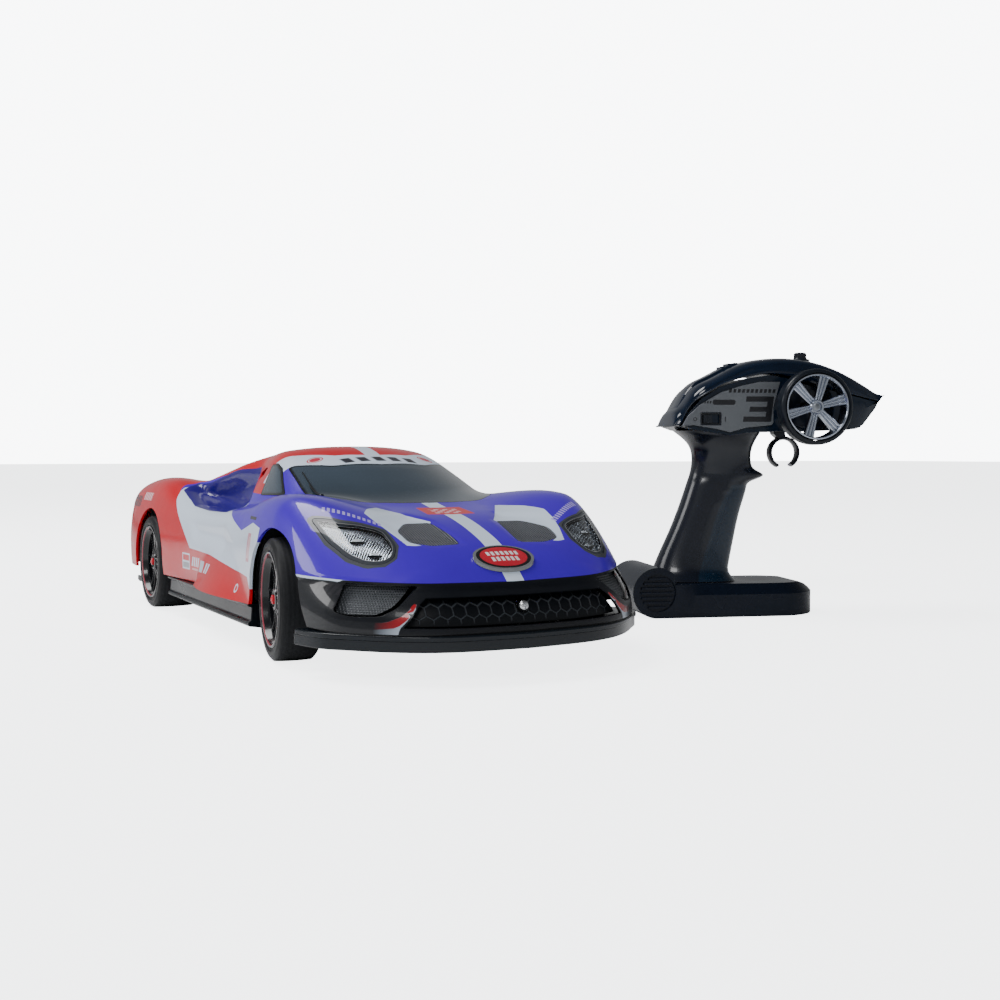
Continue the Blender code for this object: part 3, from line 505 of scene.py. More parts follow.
def speckled(finish, colour, spread=0.12, size=18.0):
    """The colour with slow, slight changes of tone."""
    dark = tuple(c * (1 - spread) for c in colour)
    light = tuple(min(1.0, c * (1 + spread) + 0.002) for c in colour)
    return finish.mix(finish.noise(size), dark, light)


def moulded_plastic(name, colour, roughness=0.38, grain=0.02, coat=0.0):
    """Injection-moulded plastic with a fine grain."""
    finish = Finish(name, roughness, coat=coat)
    finish.set("Specular IOR Level", 0.2)
    finish.set("Base Color", speckled(finish, colour))
    fine = finish.noise(0.7, 2.0)
    slow = finish.noise(30.0)
    finish.set("Roughness", finish.math('MULTIPLY_ADD', slow, 0.16, roughness - 0.08))
    finish.bump(fine, grain)
    return finish.material


def gloss_plastic(name, colour, roughness=0.12):
    """Piano-gloss moulding, with the faint waviness of a moulded skin."""
    finish = Finish(name, roughness, coat=0.4)
    finish.set("Specular IOR Level", 0.25)
    finish.set("Base Color", speckled(finish, colour, 0.2))
    finish.set("Roughness", finish.math('MULTIPLY_ADD', finish.noise(6.0, 5.0), 0.1, roughness - 0.04))
    finish.bump(finish.noise(14.0, 1.0), 0.05)
    return finish.material


# ---------------------------------------------------------------- the body's surface

# Heights and widths along the car, each as (x, value), as on the CAD shell
FENDER_LINE = smooth_curve([(-232, 83), (-205, 87), (-172, 91.5), (-140, 93), (-115, 91), (-90, 84.5),
                            (-55, 78), (-12, 75.5), (30, 78.5), (60, 82.5), (85, 86.3), (110, 88.4),
                            (132, 88), (150, 84.8), (169, 78.2), (190, 67.5), (212, 53)])
CENTRE_LINE = smooth_curve([(-232, 84), (-190, 85), (-140, 84), (-60, 82), (60, 83.5), (100, 83.6),
                            (121, 81.7), (160, 76.1), (190, 67.8), (206, 61.7), (217, 56.6), (228, 49)])
HALF_WIDTH = smooth_curve([(-232, 90), (-205, 96), (-170, 98.5), (-140, 98.8), (-105, 97), (-60, 93),
                           (0, 91.5), (60, 92.5), (100, 96.5), (132, 98), (165, 97.5), (190, 95)])
ROOF_LINE = smooth_curve([(-232, 80), (-170, 87), (-120, 95.5), (-60, 106.5), (-20, 112.8), (8, 115),
                          (34, 114.2), (60, 108)])
CABIN_HALF_WIDTH = smooth_curve([(-150, 76), (-120, 71.5), (-83, 64), (-29, 60), (0, 64.5), (30, 66),
                                 (60, 64), (86, 60), (110, 53), (130, 42)])
NOSE_LINE = smooth_curve([(0, 241), (30, 238.5), (55, 232), (75, 217), (87, 202), (94, 187), (98, 168),
                          (101, 140)])
NOSE_LEAN = smooth_curve([(20, 0), (28, 0.2), (36, 3.5), (46, 13.5), (57, 25), (70, 40), (90, 66)])
TAIL_X = -232
CABIN_END = 145
SHELL_THICKNESS = 1.8
SHELL_BOTTOM = 27
SHELL_BOTTOM_NOSE = 24.4
SPINE_END = 150              # the rays start on a line that reaches this far each way
FAN = 0.2                    # share of the rays that turn round at each end of the spine
RECESS_DEPTH = 5             # grille and corner intakes behind the skin
BOWL_DEPTH = 9               # headlight bowls behind the skin

# Openings, as on the CAD shell
WINDSCREEN = mirrored([(58, 0), (53, 30), (34, 53), (86, 57.5), (102, 52), (115, 38), (123, 16),
                       (124.5, 0)])
REAR_WINDOW = mirrored([(-34, 0), (-35, 34), (-112, 40), (-114, 0)])
SIDE_WINDOW = [(8, 103.5), (21, 84.8), (60, 85.6), (30, 101.5), (18, 104.5)]
PILLAR_WINDOW = [(-12, 97.5), (-7, 93.5), (1, 96.5), (1, 101.5), (-5, 101.5)]
HOOD_VENT = [(165.5, 20), (166.5, 34.5), (180.5, 45), (193.5, 44), (198, 32.5), (198.5, 17), (188, 17.2)]
HEADLIGHT = [(157, 83.5), (170, 71), (176, 60), (181, 52.5), (195, 51.5), (202, 55.5), (203, 61.5),
             (199, 69), (190, 75.5), (175, 81)]
GRILLE = [(49.5, 41), (53.5, 38), (62, 27.4), (30, 26.8), (-30, 26.8), (-62, 27.4), (-53.5, 38), (-49.5, 41)]
CORNER_INTAKE = [(50.5, 46.4), (79.5, 47.6), (87, 34), (81, 32), (70, 32.4), (62.5, 36.4)]
TAIL_LIGHT_AT = (62, 64)
TAIL_LIGHT = circle(TAIL_LIGHT_AT, 11.5, 48)
SCREW_Z = 35.5
NOSE_SPAN = (170, 260)
TAIL_SPAN = (-250, -205)

# Sculpted areas. Those beside the cabin are given as (x, around), see around().
CHANNEL = [(-97, 58), (-106, 69), (-67, 82.8), (-24, 93), (-13, 85), (14, 53), (6, 49), (-30, 48), (-60, 49)]
DOOR_DISH = [(-62, 44), (-40, 24), (26, 21), (52, 30), (20, 45)]
VENT_DISH = [(150, 27), (166, 18), (198, 16), (200, 34), (194, 46), (166, 52)]


def body_field(x, y, z):
    """Roughly the distance outside the painted body: below zero inside it."""
    y = np.abs(y)
    top = z - (CENTRE_LINE(x) + (FENDER_LINE(x) - CENTRE_LINE(x)) * ease(28, 76, y))
    side = y - HALF_WIDTH(x) + 0.0042 * np.maximum(z - 44, 0)**2 + 0.004 * np.maximum(40 - z, 0)**2
    front = x - NOSE_LINE(y) + NOSE_LEAN(z)
    rear = TAIL_X + 14 * (y / 96)**4 + 0.14 * np.abs(z - 82) - x
    lower = smooth_max(smooth_max(smooth_max(top, side, 13), front * 0.8, 9), rear, 7)
    windscreen = z - 106.4 + 0.358 * (x - 52) + 11.5 * (y / 56)**2.2
    roof = z - ROOF_LINE(x) + 3 * (y / 45)**2.5
    lean_in = 0.62 - 0.5 * ease(20, 60, -x)
    cabin_side = (y - CABIN_HALF_WIDTH(x) + lean_in * (z - 85)) * 0.87
    cabin = smooth_max(smooth_max(smooth_max(roof, windscreen * 0.94, 7), cabin_side, 6), rear, 7)
    cabin = np.maximum(cabin, x - CABIN_END)
    return smooth_min(cabin, lower, 6)


def around(y, z):
    """How far round the body from its lower edge, in millimetres of a 95 mm circle."""
    return 95 * np.arctan2(z - SHELL_BOTTOM, np.abs(y))


def nose_edge(y):
    """Height of the painted hood's lower edge across the nose."""
    return 45.4 + 0.0006 * np.abs(y)**1.96


def carving(x, y, z):
    """How far the sculpted areas lie below the plain body."""
    y = np.abs(y)
    turn = around(y, z)
    depth = 6.5 * ease(0, 8, depth_in(CHANNEL, x, turn))
    depth += 2.8 * ease(0, 15, depth_in(DOOR_DISH, x, turn))
    depth += 1.3 * ease(-3, 6, depth_in(VENT_DISH, x, y)) * (x > 130)
    depth += 1.0 * ease(0, 1.5, nose_edge(y) - z) * (x > 160)
    return depth


def surface_rays(stations, levels):
    """Origins and directions of the rays from the spine to the left half of the body."""
    t = np.linspace(0, 1, stations)
    spine_x = np.interp(t, [0, FAN, 1 - FAN, 1], [-SPINE_END, -SPINE_END, SPINE_END, SPINE_END])
    heading = np.interp(t, [0, FAN, 1 - FAN, 1], [math.pi, math.pi / 2, math.pi / 2, 0])
    nose_drop = (SHELL_BOTTOM - SHELL_BOTTOM_NOSE) * ease(0.78, 0.86, t)
    rise = np.linspace(0, math.pi / 2, levels)
    origins = np.stack([spine_x, 0 * spine_x, SHELL_BOTTOM - nose_drop], -1)[:, None, :]
    flat = np.cos(rise)[None, :]
    directions = np.stack([np.cos(heading)[:, None] * flat, np.sin(heading)[:, None] * flat,
                           np.sin(rise)[None, :] + 0 * heading[:, None]], -1)
    return origins, directions


def surface_points(stations, levels, offset):
    """Points of the left half of the surface that lies this far outside the sculpted body."""
    origins, directions = surface_rays(stations, levels)
    reach = np.linspace(20, 175, 32)
    tries = origins[..., None, :] + directions[..., None, :] * reach[:, None]
    inside = body_field(tries[..., 0], tries[..., 1], tries[..., 2]) < offset
    last = len(reach) - 1 - np.argmax(inside[..., ::-1], axis=-1)
    low = reach[last]
    high = reach[np.minimum(last + 1, len(reach) - 1)]
    for _ in range(16):
        middle = (low + high) / 2
        point = origins + directions * middle[..., None]
        within = body_field(point[..., 0], point[..., 1], point[..., 2]) < offset
        low = np.where(within, middle, low)
        high = np.where(within, high, middle)
    reached = (low + high) / 2
    point = origins + directions * reached[..., None]
    reached = reached - carving(point[..., 0], point[..., 1], point[..., 2])
    return origins + directions * reached[..., None]


def skin(outer, inner, stations, levels):
    """A closed skin between two offsets of the body, open below."""
    bm = bmesh.new()
    rims = []
    for offset in (outer, inner):
        half = surface_points(stations, levels, offset)
        for side in (1, -1):
            grid = [[bm.verts.new((p[0], side * p[1], p[2])) for p in row] for row in half]
            for low, high in zip(grid, grid[1:]):
                for j in range(levels - 1):
                    bm.faces.new((low[j], high[j], high[j + 1], low[j + 1]))
            rims.append([row[0] for row in grid])
    for outer_rim, inner_rim in ((rims[0], rims[2]), (rims[1], rims[3])):
        for i in range(stations - 1):
            bm.faces.new((outer_rim[i], outer_rim[i + 1], inner_rim[i + 1], inner_rim[i]))
    bmesh.ops.remove_doubles(bm, verts=bm.verts, dist=0.02)
    return bm


SKINS = {}                   # the skins made so far, removed at the end


def skin_object(outer, inner):
    """The skin between two offsets, made once; the painted surface is the finest."""
    key = (outer, inner)
    if key not in SKINS:
        fine = (outer == 0 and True)
        stations, levels = (260, 90) if fine else (150, 54)
        SKINS[key] = solid_object("skin", skin(outer, inner, stations, levels))
    return SKINS[key]


def skin_panel(outline, axis, span, outer=0.0, inner=-SHELL_THICKNESS, gap=GAP):
    """A piece of skin inside an outline seen along an axis, with a gap all round."""
    target = solid_object("panel", prism(inset(outline, gap), *span, axis))
    boolean(target, skin_object(outer, inner), 'INTERSECT')
    return applied(target, [])


def arch_outline(axle_x):
    """The wheel opening seen from the side: an arc, wider towards the nose on the front wheel."""
    radius = 38.4
    outline = arc((axle_x, AXLE_HEIGHT), radius, 18, 180, 48) + [(axle_x - radius, 15)]
    front_foot = 48.5 if axle_x > 0 else radius
    return outline + [(axle_x + front_foot, 15), (axle_x + front_foot, 24)]


def opening_cutters(axis):
    """What is cut out of the painted shell along one axis."""
    bm = bmesh.new()
    if axis == 'Z':
        for outline in (rounded(WINDSCREEN, 4), rounded(REAR_WINDOW, 8)):
            prism(outline, 60, 130, shape=bm)
    elif axis == 'X':
        prism(GRILLE, *NOSE_SPAN, 'X', bm)
    for side in (1, -1):
        if axis == 'Z':
            prism(on_side(side, rounded(HOOD_VENT, 4), 'Z'), 40, 120, shape=bm)
            prism(on_side(side, rounded(HEADLIGHT, 4), 'Z'), 30, 120, shape=bm)
        elif axis == 'X':
            prism(on_side(side, rounded(CORNER_INTAKE, 2), 'X'), *NOSE_SPAN, 'X', bm)
            prism(on_side(side, TAIL_LIGHT, 'X'), *TAIL_SPAN, 'X', bm)
        else:
            prism(rounded(SIDE_WINDOW, 2), 45 * side, 90 * side, 'Y', bm)
            prism(rounded(PILLAR_WINDOW, 1), 40 * side, 90 * side, 'Y', bm)
            for axle in (FRONT_AXLE, REAR_AXLE):
                prism(arch_outline(axle), 55 * side, 120 * side, 'Y', bm)
    return bm


# ---------------------------------------------------------------- livery

# Painted areas, each an outline seen along one axis. The scheme is the same on both sides.
RED_BODY = [(-250, 15), (100, 15), (99, 30), (87.5, 41.5), (57, 43), (0, 47.5), (-47, 48.7), (-73, 66),
            (-91, 78.6), (-96, 83.5), (-108, 90), (-67, 96.5), (-28, 97), (-8, 86), (21, 85.5), (14, 100),
            (38, 105), (48, 111), (48, 135), (-250, 135)]
WHITE_DOOR = [(-104, 90), (-91, 78.6), (-73, 66), (-47, 48.7), (0, 47.5), (57, 43), (87.5, 41.5), (99, 30),
              (103, 30), (108, 70), (90, 72), (62, 66), (19, 75), (-57, 78)]
BANNER = [(42, 0), (38, 24), (24, 44), (12, 56), (12, 62), (33, 62), (35, 53), (53, 30), (62, 0)]
VENT_WHITE = [(134, 37), (147, 30), (158, 24), (166, 19), (172, 22), (172, 34), (181, 43), (193, 43),
              (198, 37), (196, 46), (184, 50), (172, 53), (160, 54.5), (148, 48)]
NOSE_TRIM = [(-1, 47), (47, 47.6), (81, 48.6), (82.6, 46.8), (89.4, 33.2), (86, 30.4), (69, 29.8),
             (61, 33.4), (56, 38.4), (53.5, 39.5), (55.6, 36), (63.4, 27.2), (65.5, 18), (-1, 18)]
NOSE_FLASH = [(54, 41), (54.5, 38), (60.2, 31.2), (64.5, 27.6), (72, 26.6), (100, 26.8), (100, 31.4),
              (88, 31.2), (84, 30.4), (69, 29.8), (60.8, 33.6)]
STRIPE_HALF_WIDTH = 5


def within(outline, axis='Y', limit=None):
    """A mark: signed distance inside an outline seen along an axis, and past a limit.

    A limit is (axis, value, way), and way is 1 for places above the value and -1 for those below it.
    """
    def distance(x, y, z):
        y = np.abs(y)
        seen = {'X': (y, z), 'Y': (x, z), 'Z': (x, y)}[axis]
        found = depth_in(outline, *seen)
        if limit:
            which, value, way = limit
            found = np.minimum(found, way * ({'x': x, 'y': y, 'z': z}[which] - value))
        return found
    return distance


def stripe_mark(x, y, z):
    """The centre stripe over hood, roof and tail."""
    wide = STRIPE_HALF_WIDTH - np.abs(y)
    hood = np.minimum(x - 120, 232 - x)
    roof = np.minimum(x + 36, 43 - x)
    tail = np.minimum(-112 - x, x + 236)
    return np.minimum(wide, np.maximum(np.maximum(hood, roof), tail))


SHELL_MARKS = {
    "red_body": within(RED_BODY),
    "channel": lambda x, y, z: depth_in(CHANNEL, x, around(y, z)),
    "white_door": within(WHITE_DOOR, limit=('y', 78, 1)),
    "banner": within(BANNER, 'Z', ('z', 92, 1)),
    "stripe": stripe_mark,
    "plate": within([(136, -1), (135, 13.5), (153, 14.5), (154, -1)], 'Z'),
    "vent_white": within(VENT_WHITE, 'Z', ('z', 55, 1)),
    "nose_white": lambda x, y, z: np.minimum(x - 150, nose_edge(y) - z),
    "nose_trim": within(NOSE_TRIM, 'X', ('x', 185, 1)),
    "nose_flash": within(NOSE_FLASH, 'X', ('x', 160, 1)),
    "lamp": within(HEADLIGHT, 'Z', ('z', 44, 1)),
    # painted shade: the shell's inside behind the nose's openings is painted black, so only shade shows
    # through them
    "nose_inside_painted_shade": lambda x, y, z: np.minimum(np.minimum(-1.0 - body_field(x, y, z), 52 - z), x - 150),
}

VIOLET = (0.052, 0.001, 0.50)
CHANNEL_BLUE = (0.014, 0.001, 0.19)
RED = (0.58, 0.001, 0.010)
WHITE = (0.66, 0.76, 0.90)
BLACK = (0.004, 0.005, 0.008)
LAMP_FRAME_GREY = (0.05, 0.055, 0.065)


def shell_paint():
    """Glossy clear-coated paint with the racing scheme on it."""
    paint = Finish("shell_paint", roughness=0.3, coat=0.6)
    paint.set("Specular IOR Level", 0.2)
    x, _, z = paint.local()
    depth = {mark: paint.attribute(mark).outputs["Fac"] for mark in SHELL_MARKS}
    mask = {mark: paint.above(depth[mark], 0) for mark in SHELL_MARKS}
    tone = paint.noise(40.0, 2.0)
    colour = paint.mix(tone, tuple(c * 0.9 for c in VIOLET), tuple(c * 1.1 for c in VIOLET))
    for mark, ink in (("white_door", WHITE), ("red_body", RED), ("channel", CHANNEL_BLUE)):
        colour = paint.mix(mask[mark], colour, ink)
    edge = paint.between(depth["channel"], -1.6, 0.2)
    low = paint.opposite(paint.above(z, 79.5, 0.6))
    colour = paint.mix(paint.both(edge, low, paint.above(x, -98)), colour, WHITE)
    # the last mark here paints the inside of the nose black as painted shade; the others are the scheme's
    # paint
    for mark, ink in (("vent_white", WHITE), ("stripe", WHITE), ("plate", RED), ("banner", WHITE),
                      ("nose_white", WHITE), ("nose_flash", RED), ("nose_trim", BLACK),
                      ("nose_inside_painted_shade", BLACK)):
        colour = paint.mix(mask[mark], colour, ink)
    colour = paint.mix(paint.above(depth["lamp"], -1.3), colour, LAMP_FRAME_GREY)
    for words, ink in shell_decals(paint):
        colour = paint.mix(words, colour, ink)
    paint.set("Base Color", colour)
    paint.set("Roughness", paint.math('MULTIPLY_ADD', paint.noise(9.0, 4.0), 0.1, 0.3))
    paint.set("Coat Weight", paint.math('MULTIPLY_ADD', mask["nose_trim"], -0.48, 0.6))
    paint.bump(paint.noise(5.0, 1.0), 0.004)
    return paint.material


class Decals:
    """Bars and blocks printed on the shell, as (mask, ink) pairs."""

    def __init__(self, paint):
        self.paint = paint
        self.x, self.y, self.z = paint.local()
        self.side = paint.math('ABSOLUTE', self.y)
        self.on_side_wall = paint.above(self.side, 84)
        self.pairs = []

    def add(self, mask, ink, where=None):
        """Print ink through a mask, on the side walls unless another area is given."""
        self.pairs.append((self.paint.both(mask, where or self.on_side_wall), ink))

    def bars(self, box, pitch, ink, share=0.6, slant=0.3, u=None, v=None, where=None):
        """A row of slanted bars in a box (u0, u1, v0, v1)."""
        self.add(self.paint.bars(u or self.x, v or self.z, box, pitch, share, slant), ink, where)

    def block(self, box, ink):
        """A solid box (x0, x1, z0, z1) on the side walls."""
        along = self.paint.between(self.x, box[0], box[1])
        self.add(self.paint.both(along, self.paint.between(self.z, box[2], box[3])), ink)


def shell_decals(paint):
    """Generic bars and blocks where a racing scheme carries its printed words."""
    decals = Decals(paint)
    sill_decals(decals)
    # rear quarter
    decals.bars((-206, -176, 71, 79), 5.4, (0.008, 0.008, 0.012), 0.72)
    decals.bars((-168, -143, 76.5, 82), 4.8, (0.9, 0.62, 0.66), 0.6)
    # front corner
    decals.bars((180, 197, 41.6, 46.6), 3.6, (0.012, 0.012, 0.016), 0.62, 0.25,
                where=paint.above(decals.side, 60))
    brow_decals(decals)
    banner_decals(decals)
    front_wing_decals(decals)
    plate_chequer(decals)
    return decals.pairs


def sill_decals(decals):
    """A framed box of two fields, two rows of bars, a second box and wide bars."""
    decals.block((-62, -47, 34.5, 45), WHITE)
    decals.block((-60.8, -48.2, 40.2, 44), RED)
    decals.block((-60.8, -48.2, 35.5, 39), (0.3, 0.3, 0.34))
    decals.bars((-43, -26, 37.5, 43.5), 4.2, WHITE)
    decals.bars((-42, -27, 35, 36.2), 1.6, (0.8, 0.6, 0.62))
    decals.block((-22, -12, 35.5, 42.5), (0.55, 0.62, 0.72))
    decals.bars((-8, 4, 36, 42), 6.0, WHITE, 0.62)


def brow_decals(decals):
    """Pale bars along the headlight's rear edge."""
    paint, x, side = decals.paint, decals.x, decals.side
    brow = paint.both(paint.above(side, 50), paint.above(decals.z, 60))
    along = paint.math('SUBTRACT', paint.math('MULTIPLY', x, 0.61), paint.math('MULTIPLY', side, 0.79))
    out = paint.math('ADD', paint.math('MULTIPLY', x, 0.79), paint.math('MULTIPLY', side, 0.61))
    decals.bars((34, 66, 168, 171.6), 2.7, (0.42, 0.36, 0.80), u=along, v=out, where=brow)


def banner_decals(decals):
    """Dark bars on the windscreen banner, and a red oval with a pale ring at each end of it."""
    paint = decals.paint
    roof = paint.above(decals.z, 96)
    decals.bars((-25, 27, 44.8, 52.2), 10.4, (0.02, 0.02, 0.03), 0.62, 0.2, u=decals.y, v=decals.x,
                where=roof)
    aside = paint.math('SUBTRACT', decals.side, 37)
    ahead = paint.math('MULTIPLY', paint.math('SUBTRACT', decals.x, 38.5), 1.3)
    oval = paint.distance(aside, ahead)
    decals.add(paint.opposite(paint.above(oval, 5.2)), (0.5, 0.02, 0.05), roof)
    decals.add(paint.between(oval, 3.6, 4.3), (0.8, 0.7, 0.75), roof)


def front_wing_decals(decals):
    """A pale plate behind the front wheel, the door handle, and a filler cap on the sill."""
    paint = decals.paint
    decals.block((83, 91, 50, 66), (0.62, 0.25, 0.33))
    decals.bars((84, 90, 52, 64), 2.4, (0.8, 0.62, 0.68), 0.5, 0.2)
    decals.block((79, 96, 73.6, 75.4), (0.004, 0.005, 0.007))
    from_cap = paint.distance(decals.x, decals.z, (68, 33.5))
    decals.add(paint.between(from_cap, 1.6, 2.5), WHITE)


def plate_chequer(decals):
    """The pale chequer of the red plate on the hood."""
    paint, pitch = decals.paint, 5.6
    row = paint.math('FRACT', paint.math('DIVIDE', decals.x, pitch))
    column = paint.math('FRACT', paint.math('DIVIDE', decals.y, pitch))
    same = paint.math('COMPARE', paint.above(row, 0.5, 0.02), paint.above(column, 0.5, 0.02), 0.5)
    inner = paint.both(paint.between(decals.x, 139.6, 150.8), paint.between(decals.y, -8.4, 8.4))
    decals.add(paint.both(same, inner), (0.8, 0.42, 0.45), paint.above(decals.z, 70))


def painted_shell():
    """The painted body with all its openings."""
    target = loose_object("shell", skin_object(0.0, -SHELL_THICKNESS).data.copy())
    shell = cut_out(target, [opening_cutters(axis) for axis in ('Z', 'X', 'Y')])
    piece("body_shell_painted", shell, shell_paint(), CAR, "shell", ["body_shell"],
          sharp=32, marks=SHELL_MARKS)


# ---------------------------------------------------------------- set into the shell

def glass_finish():
    """Smoked window panel: dark and glossy, a little lighter towards its middle, with a black edge."""
    glass = Finish("dark_glass", roughness=0.12, coat=0.8, coat_roughness=0.02)
    glass.set("Specular IOR Level", 0.3)
    inside = glass.attribute("edge").outputs["Fac"]
    tone = glass.mix(glass.noise(60.0, 1.0), (0.022, 0.034, 0.048), (0.052, 0.078, 0.108))
    glass.set("Base Color", glass.mix(glass.above(inside, 1.6, 0.4), (0.004, 0.005, 0.007), tone))
    glass.bump(glass.noise(50.0, 1.0), 0.02)
    return glass.material


def windows():
    """The windscreen, the rear window, and the side and pillar windows of both sides."""
    glass = glass_finish()
    for name, outline, corner in (("windscreen", WINDSCREEN, 4), ("rear_window", REAR_WINDOW, 8)):
        mesh = skin_panel(rounded(outline, corner), 'Z', (60, 130))
        half = [point for point in outline if point[1] > -0.01]
        whole = half + [(half[-1][0], -9), (half[0][0], -9)]
        piece(name + "_panel", mesh, glass, CAR, "shell", [name],
              marks={"edge": within(whole, 'Z')})
    for side, sign in SIDES:
        span = sorted((45 * sign, 90 * sign))
        mesh = skin_panel(rounded(SIDE_WINDOW, 2), 'Y', span)
        piece("side_window_panel_" + side, mesh, glass, CAR, "shell",
              ["side_window_" + side], marks={"edge": within(SIDE_WINDOW, 'Y')})
        mesh = skin_panel(rounded(PILLAR_WINDOW, 1), 'Y', span, -1.4, -2.6, gap=-0.4)
        piece("pillar_window_" + side, mesh, glass, CAR, "shell",
              marks={"edge": within(PILLAR_WINDOW, 'Y')})


def skin_height(x, y, lift=0.0):
    """Height of the painted skin, this far above it, at a place in plan."""
    low, high = 30.0, 140.0
    for _ in range(30):
        middle = (low + high) / 2
        if body_field(np.array(x), np.array(y), np.array(middle)) < lift:
            low = middle
        else:
            high = middle
    return low


def wiper():
    """The one moulded wiper, parked in the windscreen's lower right corner: arm, blade and pivot cap."""
    black = moulded_plastic("wiper_black", (0.006, 0.007, 0.009), 0.3)
    foot, tip = (94, -53.5), (58, -50.5)
    run_x, run_y = tip[0] - foot[0], tip[1] - foot[1]
    shares = (0, 0.25, 0.5, 0.75, 1)
    arm = [(foot[0] + run_x * t * 0.7, foot[1] + run_y * t * 0.7) for t in shares]
    blade = [(foot[0] - 8 + run_x * t, foot[1] + 1.5 + run_y * t) for t in shares]
    shape = tube([(x, y, skin_height(x, y, 1.0)) for x, y in arm], 0.5)
    tube([(x, y, skin_height(x, y, 0.5)) for x, y in blade], 0.42, shape=shape)
    height = skin_height(*foot)
    cap = [(0, height - 1), (1.5, height - 1), (1.5, height + 1.0), (0.9, height + 1.6), (0, height + 1.6)]
    turned(cap, 20, 'Z', foot, shape)
    piece("wiper", shape, black, CAR, "shell")


def lens_finish(name, tint):
    """Clear moulded lens; its border is a printed grey frame."""
    lens = Finish(name, roughness=0.03, coat=0.5)
    inside = lens.attribute("edge").outputs["Fac"]
    frame_mask = lens.opposite(lens.above(inside, 1.7, 0.2))
    lens.set("Base Color", lens.mix(frame_mask, tint, (0.035, 0.04, 0.05)))
    lens.set("Transmission Weight", lens.opposite(frame_mask))
    lens.set("Roughness", lens.math('MULTIPLY_ADD', frame_mask, 0.3, 0.02))
    lens.set("IOR", 1.2)
    return lens.material


def reflector_finish():
    """Metallised bowl with fine flutes; its base colour carries painted reflections: broad light and dark
    bands, and light streaks along the flutes.
    """
    bowl = Finish("reflector", roughness=0.22, metallic=0.75)
    x, y, _ = bowl.local()
    flutes = bowl.math('SINE', bowl.math('MULTIPLY', bowl.math('ADD', x, y), 3.4))
    broad = bowl.math('SINE', bowl.math('MULTIPLY', bowl.math('SUBTRACT', x, y), 0.55))
    # painted reflection: the light and dark bands and the light streaks on the flutes stand in for what the
    # mirrored bowl reflects; the flutes' relief is the bump below
    painted_reflection_bands = bowl.above(broad, 0.1, 0.25)
    tone = bowl.mix(painted_reflection_bands, (0.10, 0.11, 0.13), (0.42, 0.45, 0.50))
    bowl.set("Base Color", bowl.mix(bowl.above(flutes, 0.2, 0.4), tone, (0.62, 0.66, 0.72)))
    bowl.bump(bowl.math('MULTIPLY_ADD', flutes, 0.5, 0.5), 0.3, 0.8)
    return bowl.material


def headlights():
    """On each side a clear lens, a fluted bowl behind it, and the lamps and rings in the bowl."""
    clear = lens_finish("clear_lens", (0.93, 0.95, 0.97))
    chrome = reflector_finish()
    glow = moulded_plastic("lamp_white", (0.80, 0.84, 0.90), 0.2)
    dark = moulded_plastic("lamp_bezel", (0.01, 0.012, 0.016), 0.3)
    edge = {"edge": within(rounded(HEADLIGHT, 4), 'Z')}
    for side, sign in SIDES:
        outline = on_side(sign, rounded(HEADLIGHT, 4), 'Z')
        piece("headlight_lens_clear_" + side, skin_panel(outline, 'Z', (30, 120)), clear, CAR, "shell",
              ["headlight_lens_" + side], marks=edge)
        bowl = skin_panel(inset(outline, 1.2), 'Z', (44, 120), -SHELL_THICKNESS - 1.2, -BOWL_DEPTH)
        piece("headlight_reflector_" + side, bowl, chrome, CAR, "shell",
              ["headlight_bowl_" + side])
        lamps, bezels = lamp_shapes(sign)
        piece("headlight_lamps_" + side, lamps, glow, CAR, "shell")
        piece("headlight_bezels_" + side, bezels, dark, CAR, "shell")


def lamp_shapes(sign):
    """Two domes in their rings, a row of small beads along the front edge, and a rail behind them."""
    lamps, bezels = bmesh.new(), bmesh.new()
    for x, y, radius in ((179.5, 66, 5.4), (191, 61.5, 4.8)):
        at = (x, sign * y)
        base = skin_height(x, y) - 6.6
        dome = [(0, base), (radius * 0.8, base), (radius * 0.78, base + 1.0), (radius * 0.5, base + 2.2),
                (0, base + 2.7)]
        ring = [(radius * 0.84, base), (radius, base), (radius * 1.02, base + 1.1),
                (radius * 0.88, base + 1.3)]
        turned(dome, 36, 'Z', at, lamps)
        turned(ring, 36, 'Z', at, bezels)
    beads = smooth_curve([(164, 79.6), (176, 77.2), (186, 73.0), (194, 67.6), (198.6, 61.4)])
    for x in np.linspace(165, 198, 13):
        y = float(beads(x))
        top = skin_height(x, y) - 3.2
        bead = [(0, top - 2.4), (1.1, top - 2.4), (1.1, top - 0.7), (0.7, top - 0.2), (0, top)]
        turned(bead, 14, 'Z', (float(x), sign * y), lamps)
    rail = [(x + 3.2, sign * (y + 2.2), skin_height(x + 3.2, y + 2.2) - 4.6)
            for x, y in ((161, 79.5), (168, 71.5), (174, 62.5), (178.5, 56))]
    tube(rail, 0.7, 8, bezels)
    return lamps, bezels


def tail_lights():
    """The two round red lamps in the tail, with moulded rings."""
    red = Finish("red_lens", roughness=0.12, coat=1.0)
    _, y, z = red.local()
    out = red.distance(red.math('ABSOLUTE', y), z, TAIL_LIGHT_AT)
    rings = red.math('SINE', red.math('MULTIPLY', out, 4.2))
    ring = red.either(red.above(out, 9.6), red.between(out, 4.6, 5.6))
    red.set("Base Color", red.mix(ring, speckled(red, (0.5, 0.012, 0.02)), (0.02, 0.02, 0.022)))
    red.bump(red.math('MULTIPLY_ADD', rings, 0.5, 0.5), 0.15)
    for side, sign in SIDES:
        mesh = skin_panel(on_side(sign, TAIL_LIGHT, 'X'), 'X', TAIL_SPAN)
        piece("tail_light_lens_" + side, mesh, red.material, CAR, "shell",
              ["tail_light_" + side])


